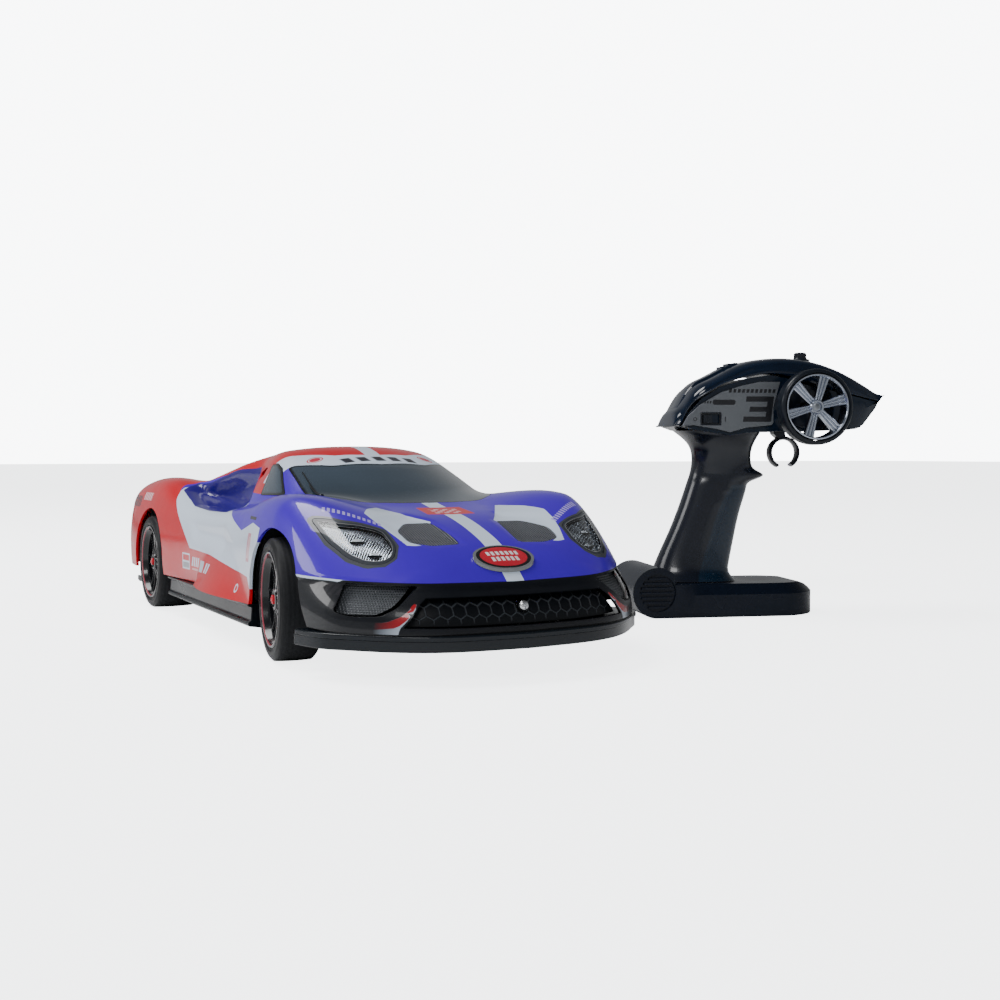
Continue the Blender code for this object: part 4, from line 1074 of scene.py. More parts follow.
def woven_mesh(name, light, dark, axes, pitch):
    """A fine woven grille, seen along the third axis: bright wires, and holes painted dark as the painted
    shade of the cavity behind them.
    """
    cloth = Finish(name, roughness=0.4, metallic=0.3)
    sockets = cloth.local()
    waves = []
    for axis in axes:
        wave = cloth.math('SINE', cloth.math('MULTIPLY', sockets[axis], math.pi / pitch))
        waves.append(cloth.math('ABSOLUTE', wave))
    holes = cloth.math('MULTIPLY', *waves)
    # painted shade: the holes get the dark colour of the shade behind the mesh
    cloth.set("Base Color", cloth.mix(cloth.above(holes, 0.45, 0.2), light, dark))
    cloth.bump(cloth.opposite(holes), 0.3)
    return cloth.material


def vents_and_intakes():
    """The woven meshes in the hood's vents and in the nose's corners."""
    # each weave's second colour is painted shade in its holes
    weave = woven_mesh("vent_weave", (0.10, 0.11, 0.13), (0.008, 0.009, 0.012), (0, 1), 1.5)
    fine = woven_mesh("intake_weave", (0.062, 0.068, 0.078), (0.04, 0.045, 0.052), (1, 2), 1.1)
    for side, sign in SIDES:
        vent = skin_panel(on_side(sign, rounded(HOOD_VENT, 4), 'Z'), 'Z', (40, 120))
        piece("hood_vent_mesh_" + side, vent, weave, CAR, "shell", ["hood_vent_" + side])
        intake = skin_panel(on_side(sign, rounded(CORNER_INTAKE, 2), 'X'), 'X', NOSE_SPAN,
                            -RECESS_DEPTH, -RECESS_DEPTH - 2)
        piece("corner_intake_mesh_" + side, intake, fine, CAR, "shell",
              ["corner_intake_" + side])


def honeycomb(finish, u, v, size):
    """Distance from the middle of the nearest hexagon, 0 to 0.5 at its walls, for cells this wide."""
    tall = math.sqrt(3)
    u, v = finish.math('DIVIDE', u, size), finish.math('DIVIDE', v, size)
    nearest = None
    for shift in (0.0, 0.5):
        du = finish.math('SUBTRACT', finish.math('FRACT', finish.math('ADD', u, 200 + shift)), 0.5)
        row = finish.math('FRACT', finish.math('ADD', finish.math('DIVIDE', v, tall), 200 + shift))
        dv = finish.math('MULTIPLY', finish.math('SUBTRACT', row, 0.5), tall)
        du, dv = finish.math('ABSOLUTE', du), finish.math('ABSOLUTE', dv)
        slanted = finish.math('ADD', finish.math('MULTIPLY', du, 0.5), finish.math('MULTIPLY', dv, tall / 2))
        cell = finish.math('MAXIMUM', du, slanted)
        nearest = cell if nearest is None else finish.math('MINIMUM', nearest, cell)
    return nearest


def grille():
    """The black nose panel, with a band of hexagons across its middle, and the shell's screw."""
    panel = Finish("grille_black", roughness=0.4)
    panel.set("Specular IOR Level", 0.2)
    _, y, z = panel.local()
    walls = panel.above(honeycomb(panel, y, z, 6.6), 0.452, 0.025)
    middle = panel.between(panel.math('ABSOLUTE', y), -1, 55, 3.0)
    band = panel.both(panel.between(z, 28.6, 39.0, 0.8), middle)
    shown = panel.both(walls, band)
    panel.set("Base Color", panel.mix(shown, (0.003, 0.004, 0.006), (0.04, 0.046, 0.055)))
    panel.set("Roughness", panel.math('MULTIPLY_ADD', panel.noise(8.0), 0.12, 0.36))
    panel.bump(shown, 0.35)
    whole = skin_panel(GRILLE, 'X', NOSE_SPAN, -RECESS_DEPTH, -RECESS_DEPTH - 2)
    hole = prism(circle((0, SCREW_Z), 3.3, 32), *NOSE_SPAN, 'X')
    mesh = cut_out(loose_object("grille", whole), [hole])
    piece("front_grille_panel", mesh, panel.material, CAR, "shell", ["front_grille"])
    screw()


def cross_slots(middle, wide, narrow, low, high, axis):
    """The two crossing slots of a cross-head screw, around a middle (u, v)."""
    u, v = middle
    slots = bmesh.new()
    for half_u, half_v in ((wide, narrow), (narrow, wide)):
        prism(rectangle(u - half_u, u + half_u, v - half_v, v + half_v), low, high, axis, slots)
    return slots


def screw():
    """The cross-head screw in the middle of the grille, in a black cup."""
    steel = Finish("screw_steel", roughness=0.25, metallic=1.0)
    steel.set("Base Color", speckled(steel, (0.72, 0.73, 0.75), 0.1, 3.0))
    steel.bump(steel.noise(0.5), 0.01)
    profile = [(0, 213), (1.8, 213), (1.8, 232), (2.6, 232.2), (2.7, 233.2), (2.5, 233.9), (1.8, 234.5),
               (0, 234.9)]
    head = solid_object("screw", turned(profile, 40, 'X', (0, SCREW_Z)))
    slots = cross_slots((0, SCREW_Z), 1.6, 0.34, 233.2, 237, 'X')
    piece("nose_screw_head", cut_out(head, [slots], 'EXACT'), steel.material, CAR, "shell",
          ["nose_screw"])


def badge():
    """A domed oval on the nose: grey bezel, black ring, red field with plain pale bars."""
    middle, half_width, half_height = 212.5, 17.5, 8.5
    enamel = Finish("badge_enamel", roughness=0.15, coat=1.0)
    x, y, _ = enamel.local()
    u = enamel.math('DIVIDE', enamel.math('SUBTRACT', x, middle), half_height)
    v = enamel.math('DIVIDE', y, half_width)
    out = enamel.distance(u, v)
    red = speckled(enamel, (0.52, 0.012, 0.03), 0.15, 6.0)
    colour = enamel.mix(enamel.above(out, 0.76, 0.01), red, (0.006, 0.006, 0.008))
    colour = enamel.mix(enamel.above(out, 0.88, 0.01), colour, (0.16, 0.17, 0.18))
    for low, high, reach in ((209.3, 211.9, 9.5), (213.1, 215.7, 8.0)):
        words = enamel.bars(y, x, (-reach, reach, low, high), 2.7, 0.62, 0.1)
        colour = enamel.mix(words, colour, (0.82, 0.8, 0.82))
    enamel.set("Base Color", colour)
    enamel.bump(enamel.noise(6.0), 0.01)
    oval = [(middle + half_height * math.cos(a), half_width * math.sin(a))
            for a in [2 * math.pi * i / 64 for i in range(64)]]
    piece("nose_badge_dome", skin_panel(oval, 'Z', (30, 90), 1.7, 0.35), enamel.material, CAR, "shell",
          ["nose_badge"])


def arch_liners():
    """Black wheel-well liners under the shell, roomy enough for the steered wheels."""
    black = moulded_plastic("liner_black", (0.008, 0.009, 0.011), 0.6, 0.04)
    for side, sign in SIDES:
        for end, axle, reach in (('front', FRONT_AXLE, 46.5), ('rear', REAR_AXLE, 41)):
            rings = []
            for y in (57 * sign, 90 * sign):
                outer = [(axle + (reach + 0.8) * math.cos(a), y, AXLE_HEIGHT + 41.6 * math.sin(a))
                         for a in np.linspace(-0.12, math.pi + 0.12, 48)]
                inner = [(axle + reach * math.cos(a), y, AXLE_HEIGHT + 40.8 * math.sin(a))
                         for a in np.linspace(math.pi + 0.12, -0.12, 48)]
                rings.append(outer + inner)
            piece("wheel_well_%s_%s" % (end, side), loft(rings), black, CAR, "shell")


# ---------------------------------------------------------------- wheels

TYRE_RADIUS = 33
RIM_RADIUS = 25.8
FRONT_TYRE = (12, 35)        # inner and outer side of a front tyre, from the kingpin
REAR_TYRE = (66, 97)         # and of a rear tyre, from the middle of the car


def tyre_rubber():
    """Matt rubber: a scuffed tread with fine grooves, and raised rings on the sidewall."""
    rubber = Finish("tyre_rubber", roughness=0.6)
    rubber.set("Specular IOR Level", 0.25)
    x, y, z = rubber.local()
    out = rubber.distance(x, z)
    tread = rubber.above(out, TYRE_RADIUS - 0.9, 0.3)
    grain = rubber.noise(2.2, 5.0)
    worn = rubber.mix(grain, (0.004, 0.0045, 0.006), (0.014, 0.015, 0.018))
    rubber.set("Base Color", rubber.mix(tread, (0.003, 0.0035, 0.005), worn))
    rubber.set("Roughness", rubber.math('MULTIPLY_ADD', tread, 0.22, 0.45))
    rings = rubber.math('SINE', rubber.math('MULTIPLY', out, 3.4))
    grooves = rubber.math('SINE', rubber.math('MULTIPLY', y, 2 * math.pi / 2.4))
    height = rubber.mix(tread, rings, grooves)
    rough = rubber.math('MULTIPLY', grain, 0.4)
    rubber.bump(rubber.math('MULTIPLY_ADD', height, 0.25, rough), 0.12)
    return rubber.material


def rim_paint():
    """Gloss black, with a thin red line round the lip."""
    black = Finish("rim_black", roughness=0.22, coat=0.35)
    black.set("Specular IOR Level", 0.35)
    x, _, z = black.local()
    line = black.between(black.distance(x, z), 23.9, 24.5, 0.08)
    colour = black.mix(line, speckled(black, (0.005, 0.006, 0.008), 0.3, 6.0), (0.30, 0.05, 0.07))
    black.set("Base Color", colour)
    black.bump(black.noise(4.0), 0.01)
    return black.material


def tyre_profile(low, high):
    """Half-round shoulders, a slightly crowned tread and a stepped bead, as (radius, along)."""
    middle, half = (low + high) / 2, (high - low) / 2
    crown = [(TYRE_RADIUS - 0.35 * t * t, middle + half * 0.82 * t) for t in np.linspace(-1, 1, 9)]
    outer = [(TYRE_RADIUS - 1.1, high - 1.3), (TYRE_RADIUS - 2.2, high - 0.35), (30.0, high), (27.6, high),
             (27.2, high - 0.5), (26.2, high - 0.7)]
    inner = [(r, low + high - y) for r, y in reversed(outer)]
    return [*inner, *crown, *outer]


def rim_shape(low, high, sign, bore):
    """A deep barrel with a rolled lip, six twin spokes and a hub."""
    shape = bmesh.new()
    barrel = [(RIM_RADIUS, low + 0.4), (RIM_RADIUS, high - 0.6), (RIM_RADIUS - 0.5, high - 0.1),
              (RIM_RADIUS - 1.3, high - 0.1), (RIM_RADIUS - 2.0, high - 0.9), (RIM_RADIUS - 2.3, high - 3.4),
              (RIM_RADIUS - 3.2, high - 4.4), (RIM_RADIUS - 3.2, low + 0.4)]
    turned([(r, sign * y) for r, y in barrel], 96, shape=shape)
    for spoke in range(6):
        for lean in (-1, 1):
            rings = []
            for t in np.linspace(0, 1, 7):
                radius = 5.0 + (RIM_RADIUS - 2.0 - 5.0) * t
                angle = math.radians(60 * spoke + lean * (9 - 1.2 * t) * (1 - 0.25 * t) + lean * 2.2)
                centre = Vector((radius * math.cos(angle), 0, radius * math.sin(angle)))
                across = Vector((-math.sin(angle), 0, math.cos(angle)))
                half = 1.15 - 0.35 * math.sin(math.pi * t)
                face = high - 3.0 - 1.5 * math.sin(math.pi * t * 0.8)
                section = [(-half, face - 3.6), (half, face - 3.6), (half, face - 0.7), (half * 0.5, face),
                           (-half * 0.5, face), (-half, face - 0.7)]
                rings.append([centre + across * u + Vector((0, sign * v, 0)) for u, v in section])
            loft(rings, shape=shape)
    hub = [(bore, low + 9), (6.4, low + 9), (6.4, high - 4), (5.6, high - 2.6), (4.4, high - 2.4),
           (3.6, high - 3.2), (bore, high - 3.2)]
    turned([(r, sign * y) for r, y in hub], 36, shape=shape)
    return shape


def cap_shape(high, sign):
    """The hexagonal nut in the middle of a rim."""
    shape = bmesh.new()
    face = sign * (high - 1.6)
    prism(circle((0, 0), 2.7, 6), sign * (high - 4.5), face, 'Y', shape)
    turned([(0, face), (1.5, face), (1.2, face + sign * 0.5), (0, face + sign * 0.5)], 24, shape=shape)
    return shape


def wheels():
    """Four wheels, each a tyre, a rim and a nut; the front two steer, the rear two share an axle."""
    rubber = tyre_rubber()
    black = rim_paint()
    red = gloss_plastic("cap_red", (0.55, 0.015, 0.03), 0.25)
    bore = 2.7
    for side, sign in SIDES:
        for end, faces, joint in (('front', FRONT_TYRE, "front_%s_spin" % side),
                                  ('rear', REAR_TYRE, "rear_axle_spin")):
            home = spin_axes(joint)
            body = JOINTS[joint]["child"]
            name = "%s_%s" % (end, side)
            tread = [(r, sign * y) for r, y in tyre_profile(*faces)]
            piece("tyre_" + name, turned(tread, 112), rubber, home, body,
                  [name + "_tyre"], sharp=50)
            piece("rim_" + name, rim_shape(*faces, sign, bore), black, home, body,
                  [name + "_rim"], sharp=40)
            piece("wheel_nut_" + name, cap_shape(faces[1], sign), red, home, body, bevel=0.2)


# ---------------------------------------------------------------- aero pieces and chassis

SPLITTER_LOW, SPLITTER_HIGH = 15.6, 23.6


def splitter_outline(grow=0.0):
    """The splitter from above: the rounded lip, and the wells of the front wheels behind it."""
    edge = [(241.5, 20), (237, 44), (229, 60), (216, 75), (203, 87), (192, 94), (176, 98.5)]
    outer = smooth_curve([(0, 243)] + [(y, x) for x, y in edge])
    sides = [(float(outer(y)) + grow, y) for y in np.linspace(0, 98.5, 34)]
    return mirrored(sides + [(175, 97), (175, 54), (172.5, 50), (172.5, 0)])


def front_splitter():
    """The black chin: a deep lip with a raised, rounded rim along its upper edge."""
    black = moulded_plastic("chin_black", (0.003, 0.006, 0.010), 0.24, 0.01, coat=0.3)
    shape = prism(splitter_outline(-1.2), SPLITTER_LOW, SPLITTER_HIGH - 2.2)
    prism(splitter_outline(), SPLITTER_HIGH - 2.6, SPLITTER_HIGH, shape=shape)
    piece("chin_splitter", shape, black, CAR, "chassis", ["front_splitter"], bevel=0.7)
    edge = [(float(NOSE_LINE(y)) - 2.6, y) for y in np.linspace(0, 88, 30)]
    floor = prism(mirrored(edge + [(176, 88), (176, 52), (174, 0)]), SPLITTER_HIGH - 0.4, 24.2)
    piece("nose_closing_panel", floor, black, CAR, "chassis")


def side_skirts():
    """The sill boxes between the wheels: a flat top ledge, a slanted face and a turned-out foot."""
    black = moulded_plastic("skirt_black", (0.003, 0.005, 0.008), 0.3, 0.02, coat=0.2)
    section = [(80.6, 10.2), (88, 12.6), (93.6, 13.4), (94.9, 14.4), (94.4, 16.2), (93.2, 17), (92.6, 24.2),
               (95, 25), (95, 26.4), (80.6, 26.4)]
    for side, sign in SIDES:
        shape = prism([(v * sign, z) for v, z in section], -95.5, 87.5, 'X')
        piece("sill_skirt_" + side, shape, black, CAR, "chassis", ["side_skirt_" + side],
              bevel=0.5)


def rear_valance():
    """The black diffuser below the tail, with its fins and a slim blade under the bumper."""
    black = moulded_plastic("valance_black", (0.003, 0.005, 0.008), 0.35, 0.02)
    section = [(-229, 26.3), (-228.4, 22), (-226, 18.6), (-205, 15.2), (-190, 13.5), (-179, 13.5),
               (-179, 26.3)]
    shape = prism(section, -84, 84, 'Y')
    fin = [(-228, 20), (-224, 12), (-188, 11.6), (-184, 16), (-200, 20)]
    for y in (-60, -36, -12, 12, 36, 60):
        prism(fin, y - 0.9, y + 0.9, 'Y', shape)
    piece("rear_valance", shape, black, CAR, "chassis", ["rear_diffuser"], bevel=0.4)
    blades = bmesh.new()
    fence = [(-228, 12), (-222, 11), (-180, 13.6), (-180, 15), (-228, 15.4)]
    for side in (1, -1):
        prism(fence, *sorted((side * 84.3, side * 86)), 'Y', blades)
    piece("rear_fences", blades, black, CAR, "chassis", bevel=0.3)


def brushed(name, colour, roughness=0.3, along=(1, 30, 30)):
    """Metal with fine brush marks along one direction."""
    metal = Finish(name, roughness, metallic=1.0)
    where = metal.tree.nodes.new("ShaderNodeTexCoord").outputs["Object"]
    stretched = metal.node("Mapping", Vector=where, Scale=along).outputs[0]
    marks = metal.noise(3.0, 3.0, stretched)
    metal.set("Base Color", metal.mix(marks, tuple(c * 0.8 for c in colour), colour))
    metal.set("Roughness", metal.math('MULTIPLY_ADD', marks, 0.2, roughness - 0.1))
    metal.bump(marks, 0.01)
    return metal.material


def circuit_finish():
    """Green solder mask with copper tracks."""
    board = Finish("board_green", roughness=0.35)
    where = board.tree.nodes.new("ShaderNodeTexCoord").outputs["Object"]
    cells = board.node("TexVoronoi", Vector=where, Scale=260.0)
    cells.distance = 'CHEBYCHEV'
    waves = board.math('SINE', board.math('MULTIPLY', cells.outputs["Distance"], 9.0))
    tracks = board.above(waves, 0.6, 0.1)
    board.set("Base Color", board.mix(tracks, (0.008, 0.12, 0.05), (0.02, 0.24, 0.1)))
    board.bump(tracks, 0.03)
    return board.material


def wrap_finish():
    """Blue shrink wrap with plain bands, creased a little."""
    wrap = Finish("battery_wrap", roughness=0.25, coat=0.3)
    where = wrap.tree.nodes.new("ShaderNodeTexCoord").outputs["Object"]
    split = wrap.node("SeparateXYZ", Vector=where)
    band = wrap.above(wrap.math('SINE', wrap.math('MULTIPLY', split.outputs[0], 150.0)), 0.75, 0.05)
    blue = speckled(wrap, (0.02, 0.09, 0.32), 0.15, 12.0)
    wrap.set("Base Color", wrap.mix(band, blue, (0.7, 0.72, 0.74)))
    wrap.bump(wrap.noise(5.0, 4.0), 0.12)
    return wrap.material


def refinish(node_name, finish):
    """Give a CAD node that is shown as it is a better finish."""
    materials = frame["nodes"][node_name].data.materials
    materials.clear()
    materials.append(finish)


def chassis_finishes():
    """Finishes of the CAD nodes under the shell and in the handset."""
    black = moulded_plastic("chassis_black", (0.006, 0.007, 0.009), 0.42, 0.05)
    steel = brushed("axle_steel", (0.55, 0.56, 0.58))
    brass = brushed("pinion_brass", (0.62, 0.44, 0.17))
    nylon = moulded_plastic("gear_nylon", (0.68, 0.67, 0.62), 0.42, 0.03)
    chosen = {black: ["chassis_tray", "front_axle_beam", "steering_servo", "gearbox_frame", "servo_horn",
                      "steering_knuckle_left", "steering_knuckle_right", "battery_door", "power_switch"],
              steel: ["tie_rod", "rear_axle_shaft", "drive_motor"], brass: ["motor_pinion"],
              nylon: ["axle_gear"], wrap_finish(): ["battery_pack"],
              circuit_finish(): ["circuit_board", "handset_board"]}
    for finish, names in chosen.items():
        for name in names:
            refinish(name, finish)


# ---------------------------------------------------------------- handset

HEAD_HALF = 26               # half width of the head below the canopy
CANOPY_HALF = 28
BASE_HALF = 33
DRUM_RADIUS = 17
DRUM_AT = (-56, DRUM_RADIUS)     # x and z of the drum at the foot's heel
HANDWHEEL_AT = (50, 141.5)   # x and z of the steering wheel's axis
HANDWHEEL_FACE = -47         # y of its outer face
HANDWHEEL_BACK = -35         # and of its inner face
TRIGGER_PIVOT = (39, 134)
TRIGGER_RING = (44.5, 111)
LABEL_FACE = -HEAD_HALF - 1.6


def handset_axes_at(x, z):
    """The handset's axes, moved to (x, z) in its middle plane."""
    return HANDSET @ Matrix.Translation((x, 0, z))


# The canopy's upper and lower edge from the side
CANOPY_OVER = [(-42, 128.5), (-41.3, 132), (-36.8, 140.4), (-29, 151.5), (-16, 161), (-1.5, 168.4),
               (6.5, 171.9), (20.5, 175.2), (35.2, 176.4), (50, 175.6), (63, 173), (76, 168.6), (90, 162.4),
               (102, 156.2), (110.5, 151)]
CANOPY_UNDER = [(-37.6, 129), (-33.8, 138), (-24, 148.6), (-11, 156.2), (10, 162.5), (24, 164.5), (45, 161),
                (68, 154.5), (88, 150), (107, 146.5)]


def navy_plastic(name, roughness, grain=0.012):
    """Blue-black moulded plastic with a soft sheen."""
    return moulded_plastic(name, (0.002, 0.005, 0.013), roughness, grain, coat=0.25)


def canopy_section(along):
    """Half-section of the canopy at a place along it: flat cheeks, curved in over the top."""
    over = smooth_curve(CANOPY_OVER)
    under = smooth_curve(CANOPY_UNDER)
    top, low = float(over(along)), float(under(along))
    low = min(low + 5 * float(ease(106, 110.3, along)), top - 1.2)
    height = top - low
    half = CANOPY_HALF - 7 * float(ease(72, 110, along)) - 6 * float(ease(-20, -42, along))
    crown = min(6.5, height * 0.8)
    points = [(half - 1.2, low), (half - 0.2, low + 0.25), (half, low + 1.0)]
    points += [(half - 2.2 * t * t, low + 1.0 + (height - crown - 1.0) * t) for t in (0.3, 0.65, 1)]
    edge = half - 2.2
    for t in np.linspace(0.1, 1, 12):
        angle = t * math.pi / 2
        points.append((edge * math.cos(angle)**0.7, top - crown + crown * math.sin(angle)**0.8))
    points[-1] = (0.0, top)
    return points


def canopy_shape():
    """The glossy cover over the head, closed below along its own lower edge."""
    rings = []
    for along in np.linspace(-41.7, 109.8, 96):
        x = float(along)
        section = canopy_section(x)
        aside, low = section[0]
        right = [(x, -y, z) for y, z in section]
        left = [(x, y, z) for y, z in reversed(section[:-1])]
        rings.append(right + left + [(x, aside * 0.5, low), (x, -aside * 0.5, low)])
    return loft(rings)


def handset_canopy():
    """The canopy with the trim knob's pocket cut into its crown, and the strip on its spine."""
    gloss = gloss_plastic("canopy_gloss", (0.002, 0.008, 0.022), 0.1)
    profile = [(0, 166.5), (2.5, 166.5), (2.5, 173.6), (7.2, 173.6), (7.2, 185), (0, 185)]
    pocket = turned(profile, 48, 'Z', (KNOB_X, 0))
    mesh = cut_out(solid_object("canopy", canopy_shape()), [pocket])
    piece("handset_canopy_cover", mesh, gloss, HANDSET, "handset", ["handset_canopy"],
          sharp=40)
    top_strip(gloss)


def top_strip(gloss):
    """The raised spine strip on the rear of the canopy, with two small blocks at its upper end."""
    over = smooth_curve(CANOPY_OVER)
    rings = []
    for along in np.linspace(-35.5, 9, 30):
        top = float(over(along))
        lift = 1.3 * float(ease(-35.5, -30, along)) * float(1 - ease(6, 9, along)) + 0.15
        section = [(-8, top - 1.2), (-7.2, top - 0.2 + lift), (-6.4, top + lift), (6.4, top + lift),
                   (7.2, top - 0.2 + lift), (8, top - 1.2)]
        rings.append([(float(along), y, z) for y, z in section])
    shape = loft(rings)
    for along in (-1.5, 3.2):
        base = float(over(along))
        prism(rectangle(along - 1.6, along + 1.6, -5.4, 5.4), base - 1, base + 2.1, shape=shape)
    piece("canopy_spine_strip", shape, gloss, HANDSET, "handset", bevel=0.3)


def handset_head():
    """The head: dark cheeks under the canopy, with a slot for the trigger and a round wheel well."""
    dark = moulded_plastic("head_navy", (0.003, 0.009, 0.020), 0.2, 0.01, coat=0.3)
    outline = [(-36.5, 128.9), (-32.9, 137.2), (-23.8, 147.7), (-10.9, 155.3), (10.1, 161.6), (24, 163.6),
               (45, 160.1), (70, 153.2), (82, 150.4), (82, 126.6), (60, 125.8), (26, 125.4),
               (8, 124.4), (-4.4, 122.6), (-16, 124.6), (-30, 126.6)]
    target = solid_object("head", prism(outline, -HEAD_HALF, HEAD_HALF, 'Y'))
    slot = prism(rectangle(25, 55, 120, 139), -6.5, 6.5, 'Y')
    profile = [(0, -HEAD_HALF - 3), (20.5, -HEAD_HALF - 3), (20.5, -HEAD_HALF + 7), (0, -HEAD_HALF + 7)]
    well = turned(profile, 72, 'Y', HANDWHEEL_AT)
    bore = prism(circle(HANDWHEEL_AT, 3.5, 32), -HEAD_HALF - 3, -12, 'Y')
    piece("handset_head_shell", cut_out(target, [slot, well, bore]), dark, HANDSET, "handset",
          ["handset_head"], bevel=0.6)
    handset_nose(dark)
    disc = [(4, -24.6), (13.4, -24.6), (13.4, -22.9), (12.4, -22.4), (4, -22.4)]
    piece("wheel_well_disc", turned(disc, 60, 'Y', HANDWHEEL_AT), navy_plastic("disc_navy", 0.3), HANDSET,
          "handset", bevel=0.3)


def handset_nose(dark):
    """The nose ahead of the wheel: cheeks that taper in, a lower chin facet and a framed end panel."""
    rings = []
    for x, half, low, high, chin in ((82.2, 26, 126.7, 150.3, 3), (89, 25.4, 127.2, 149.0, 4),
                                     (94, 24, 128.4, 147.8, 5), (99.5, 22.6, 134.3, 146.9, 4),
                                     (105.6, 21.2, 143.2, 145.9, 1)):
        middle = (low + high) / 2 + 3
        rings.append([(x, -half, high), (x, -half - 0.2, middle), (x - 1, -half + chin, low),
                      (x - 1, half - chin, low), (x, half + 0.2, middle), (x, half, high)])
    piece("handset_nose_block", loft(rings), dark, HANDSET, "handset", bevel=0.5,
          sharp=25)
    slope = Vector((105.6 - 93.0, 0, 143.4 - 128.4)).normalized()
    out = Vector((slope.z, 0, -slope.x))
    start = Vector((94.2, 0, 129.8))
    frame_shape = bmesh.new()
    corners = [(1.2, 17.5), (16.8, 16.2)]
    for side in (1, -1):
        line = [start + slope * along + out * 0.1 + Vector((0, side * y, 0)) for along, y in corners]
        tube(line, 0.85, 8, frame_shape)
    for along, y in corners:
        middle = start + slope * along + out * 0.1
        tube([middle + Vector((0, -y, 0)), middle + Vector((0, y, 0))], 0.85, 8, frame_shape)
    gloss = gloss_plastic("frame_gloss", (0.002, 0.008, 0.022))
    piece("nose_end_frame", frame_shape, gloss, HANDSET, "handset")


def label_finish():
    """Brushed grey plate printed with a big block 3, a pill slot, a switch frame and its O and I."""
    plate = Finish("label_grey", roughness=0.38, metallic=0.35)
    x, _, z = plate.local()
    base = plate.mix(plate.noise(30.0), (0.115, 0.125, 0.14), (0.155, 0.168, 0.185))
    ink = (0.006, 0.007, 0.010)

    def box(u0, u1, v0, v1, lean=0.0):
        risen = plate.math('SUBTRACT', z, 140)
        leaning = plate.math('SUBTRACT', x, plate.math('MULTIPLY', risen, lean))
        return plate.both(plate.between(leaning, u0, u1), plate.between(z, v0, v1))

    lean = 0.12
    digit = [box(6.0, 25.6, 145.4, 149.0, lean), box(9.2, 25.6, 138.6, 142.0, lean),
             box(5.6, 25.6, 131.8, 135.4, lean), box(21.2, 25.6, 131.8, 149.0, lean)]
    from_middle = plate.math('ABSOLUTE', plate.math('SUBTRACT', x, -8.8))
    past_straight = plate.math('MAXIMUM', plate.math('SUBTRACT', from_middle, 6.4), 0.0)
    pill = plate.opposite(plate.above(plate.distance(past_straight, z, (0, 144.9)), 1.75))
    switch = box(-25.2, -10.8, 129.6, 137.8)
    zero = plate.between(plate.distance(x, z, (-29, 133.4)), 0.75, 1.35)
    one = box(-8.2, -7.5, 131.9, 135.1)
    words = plate.bars(x, z, (-6, 28, 151.4, 153.9), 3.1, 0.66, 0.2)
    small = plate.bars(x, z, (-25, -17.6, 144.0, 145.8), 1.9, 0.6, 0.2)
    mask = plate.either(*digit, pill, switch, zero, one, words, small)
    plate.set("Base Color", plate.mix(mask, base, ink))
    plate.set("Metallic", plate.math('MULTIPLY', plate.opposite(mask), 0.35))
    grain = plate.math('MULTIPLY', plate.noise(0.6), 0.1)
    plate.bump(plate.math('ADD', plate.math('MULTIPLY', mask, -1.0), grain), 0.12)
    return plate.material


def label_outline():
    """The label's own outline, up to the canopy's lower edge."""
    return [(-38.0, 128.9), (-34, 135.6), (-25.5, 143.2), (-11, 151.6), (3, 156), (17, 159), (31, 158.9),
            (28.4, 150), (26.2, 141.5), (26.4, 131.4), (25, 129.6), (7, 127.9), (-4.4, 124.7), (-14, 127.0),
            (-30, 129.4)]


def label():
    """The label plate with the switch's window, and a fine raised bezel round the window."""
    target = solid_object("plate", prism(label_outline(), LABEL_FACE, -HEAD_HALF - GAP, 'Y'))
    window = prism(rectangle(-24, -12, 130.6, 136.8), LABEL_FACE - 2, -HEAD_HALF + 2, 'Y')
    piece("label_plate", cut_out(target, [window]), label_finish(), HANDSET, "handset",
          ["label_panel"], bevel=0.25)
    bezel = bmesh.new()
    low_left, low_right, high_right, high_left = rectangle(-25, -11, 129.7, 137.7)
    for start, end in ((low_left, low_right), (high_left, high_right), (low_left, high_left),
                       (low_right, high_right)):
        tube([place('Y', *start, LABEL_FACE), place('Y', *end, LABEL_FACE)], 0.4, 8, bezel)
    piece("switch_bezel", bezel, navy_plastic("bezel_navy", 0.25), HANDSET, "handset")


def grip_curves():
    """The grip's rear edge, front edge and half width at each height."""
    back = smooth_curve([(23, -52), (36.5, -47), (57, -37.7), (75, -30.5), (92, -24.7), (100, -22.4),
                         (109, -21.9), (115, -23.4), (119, -26.2), (122, -29.4), (126, -34.8)])
    front = smooth_curve([(23, 8), (27, 4.6), (34, 4.2), (53, 8), (74, 13), (87, 16.8), (91, 20),
                          (95, 29), (99, 23.5), (104, 20), (110, 19.7), (118, 21.8), (126, 26)])
    half = smooth_curve([(23, 21), (28, 17), (34, 15), (50, 13.5), (80, 13), (108, 13.5), (118, 17),
                         (124, 22)])
    return back, front, half


def seam_line(z):
    """Where the front insert of the grip meets its body, seen from the side."""
    upper_bend = 0.010 * np.maximum(z - 66, 0)**2
    return -11 + 0.30 * (z - 60) + upper_bend - 0.0016 * np.maximum(60 - z, 0)**2


def grip_shape():
    """The grip as a stack of softly squared rings, a little narrower on the front insert."""
    back, front, half = grip_curves()
    rings = []
    for z in np.linspace(22.8, 126, 120):
        low, high, wide = float(back(z)), float(front(z)), float(half(z))
        middle, reach = (low + high) / 2, (high - low) / 2
        ring = []
        for i in range(72):
            angle = 2 * math.pi * i / 72
            across = math.copysign(abs(math.cos(angle))**0.78, math.cos(angle))
            aside = math.copysign(abs(math.sin(angle))**0.85, math.sin(angle))
            x, y = middle + reach * across, wide * aside
            ahead = x - float(seam_line(z))
            inside = float(ease(0, 1.2, ahead)) * float(1 - ease(86, 92, z)) * float(ease(24, 30, z))
            y *= 1 - 0.085 * inside
            ring.append((x, y, float(z)))
        rings.append(ring)
    return loft(rings)


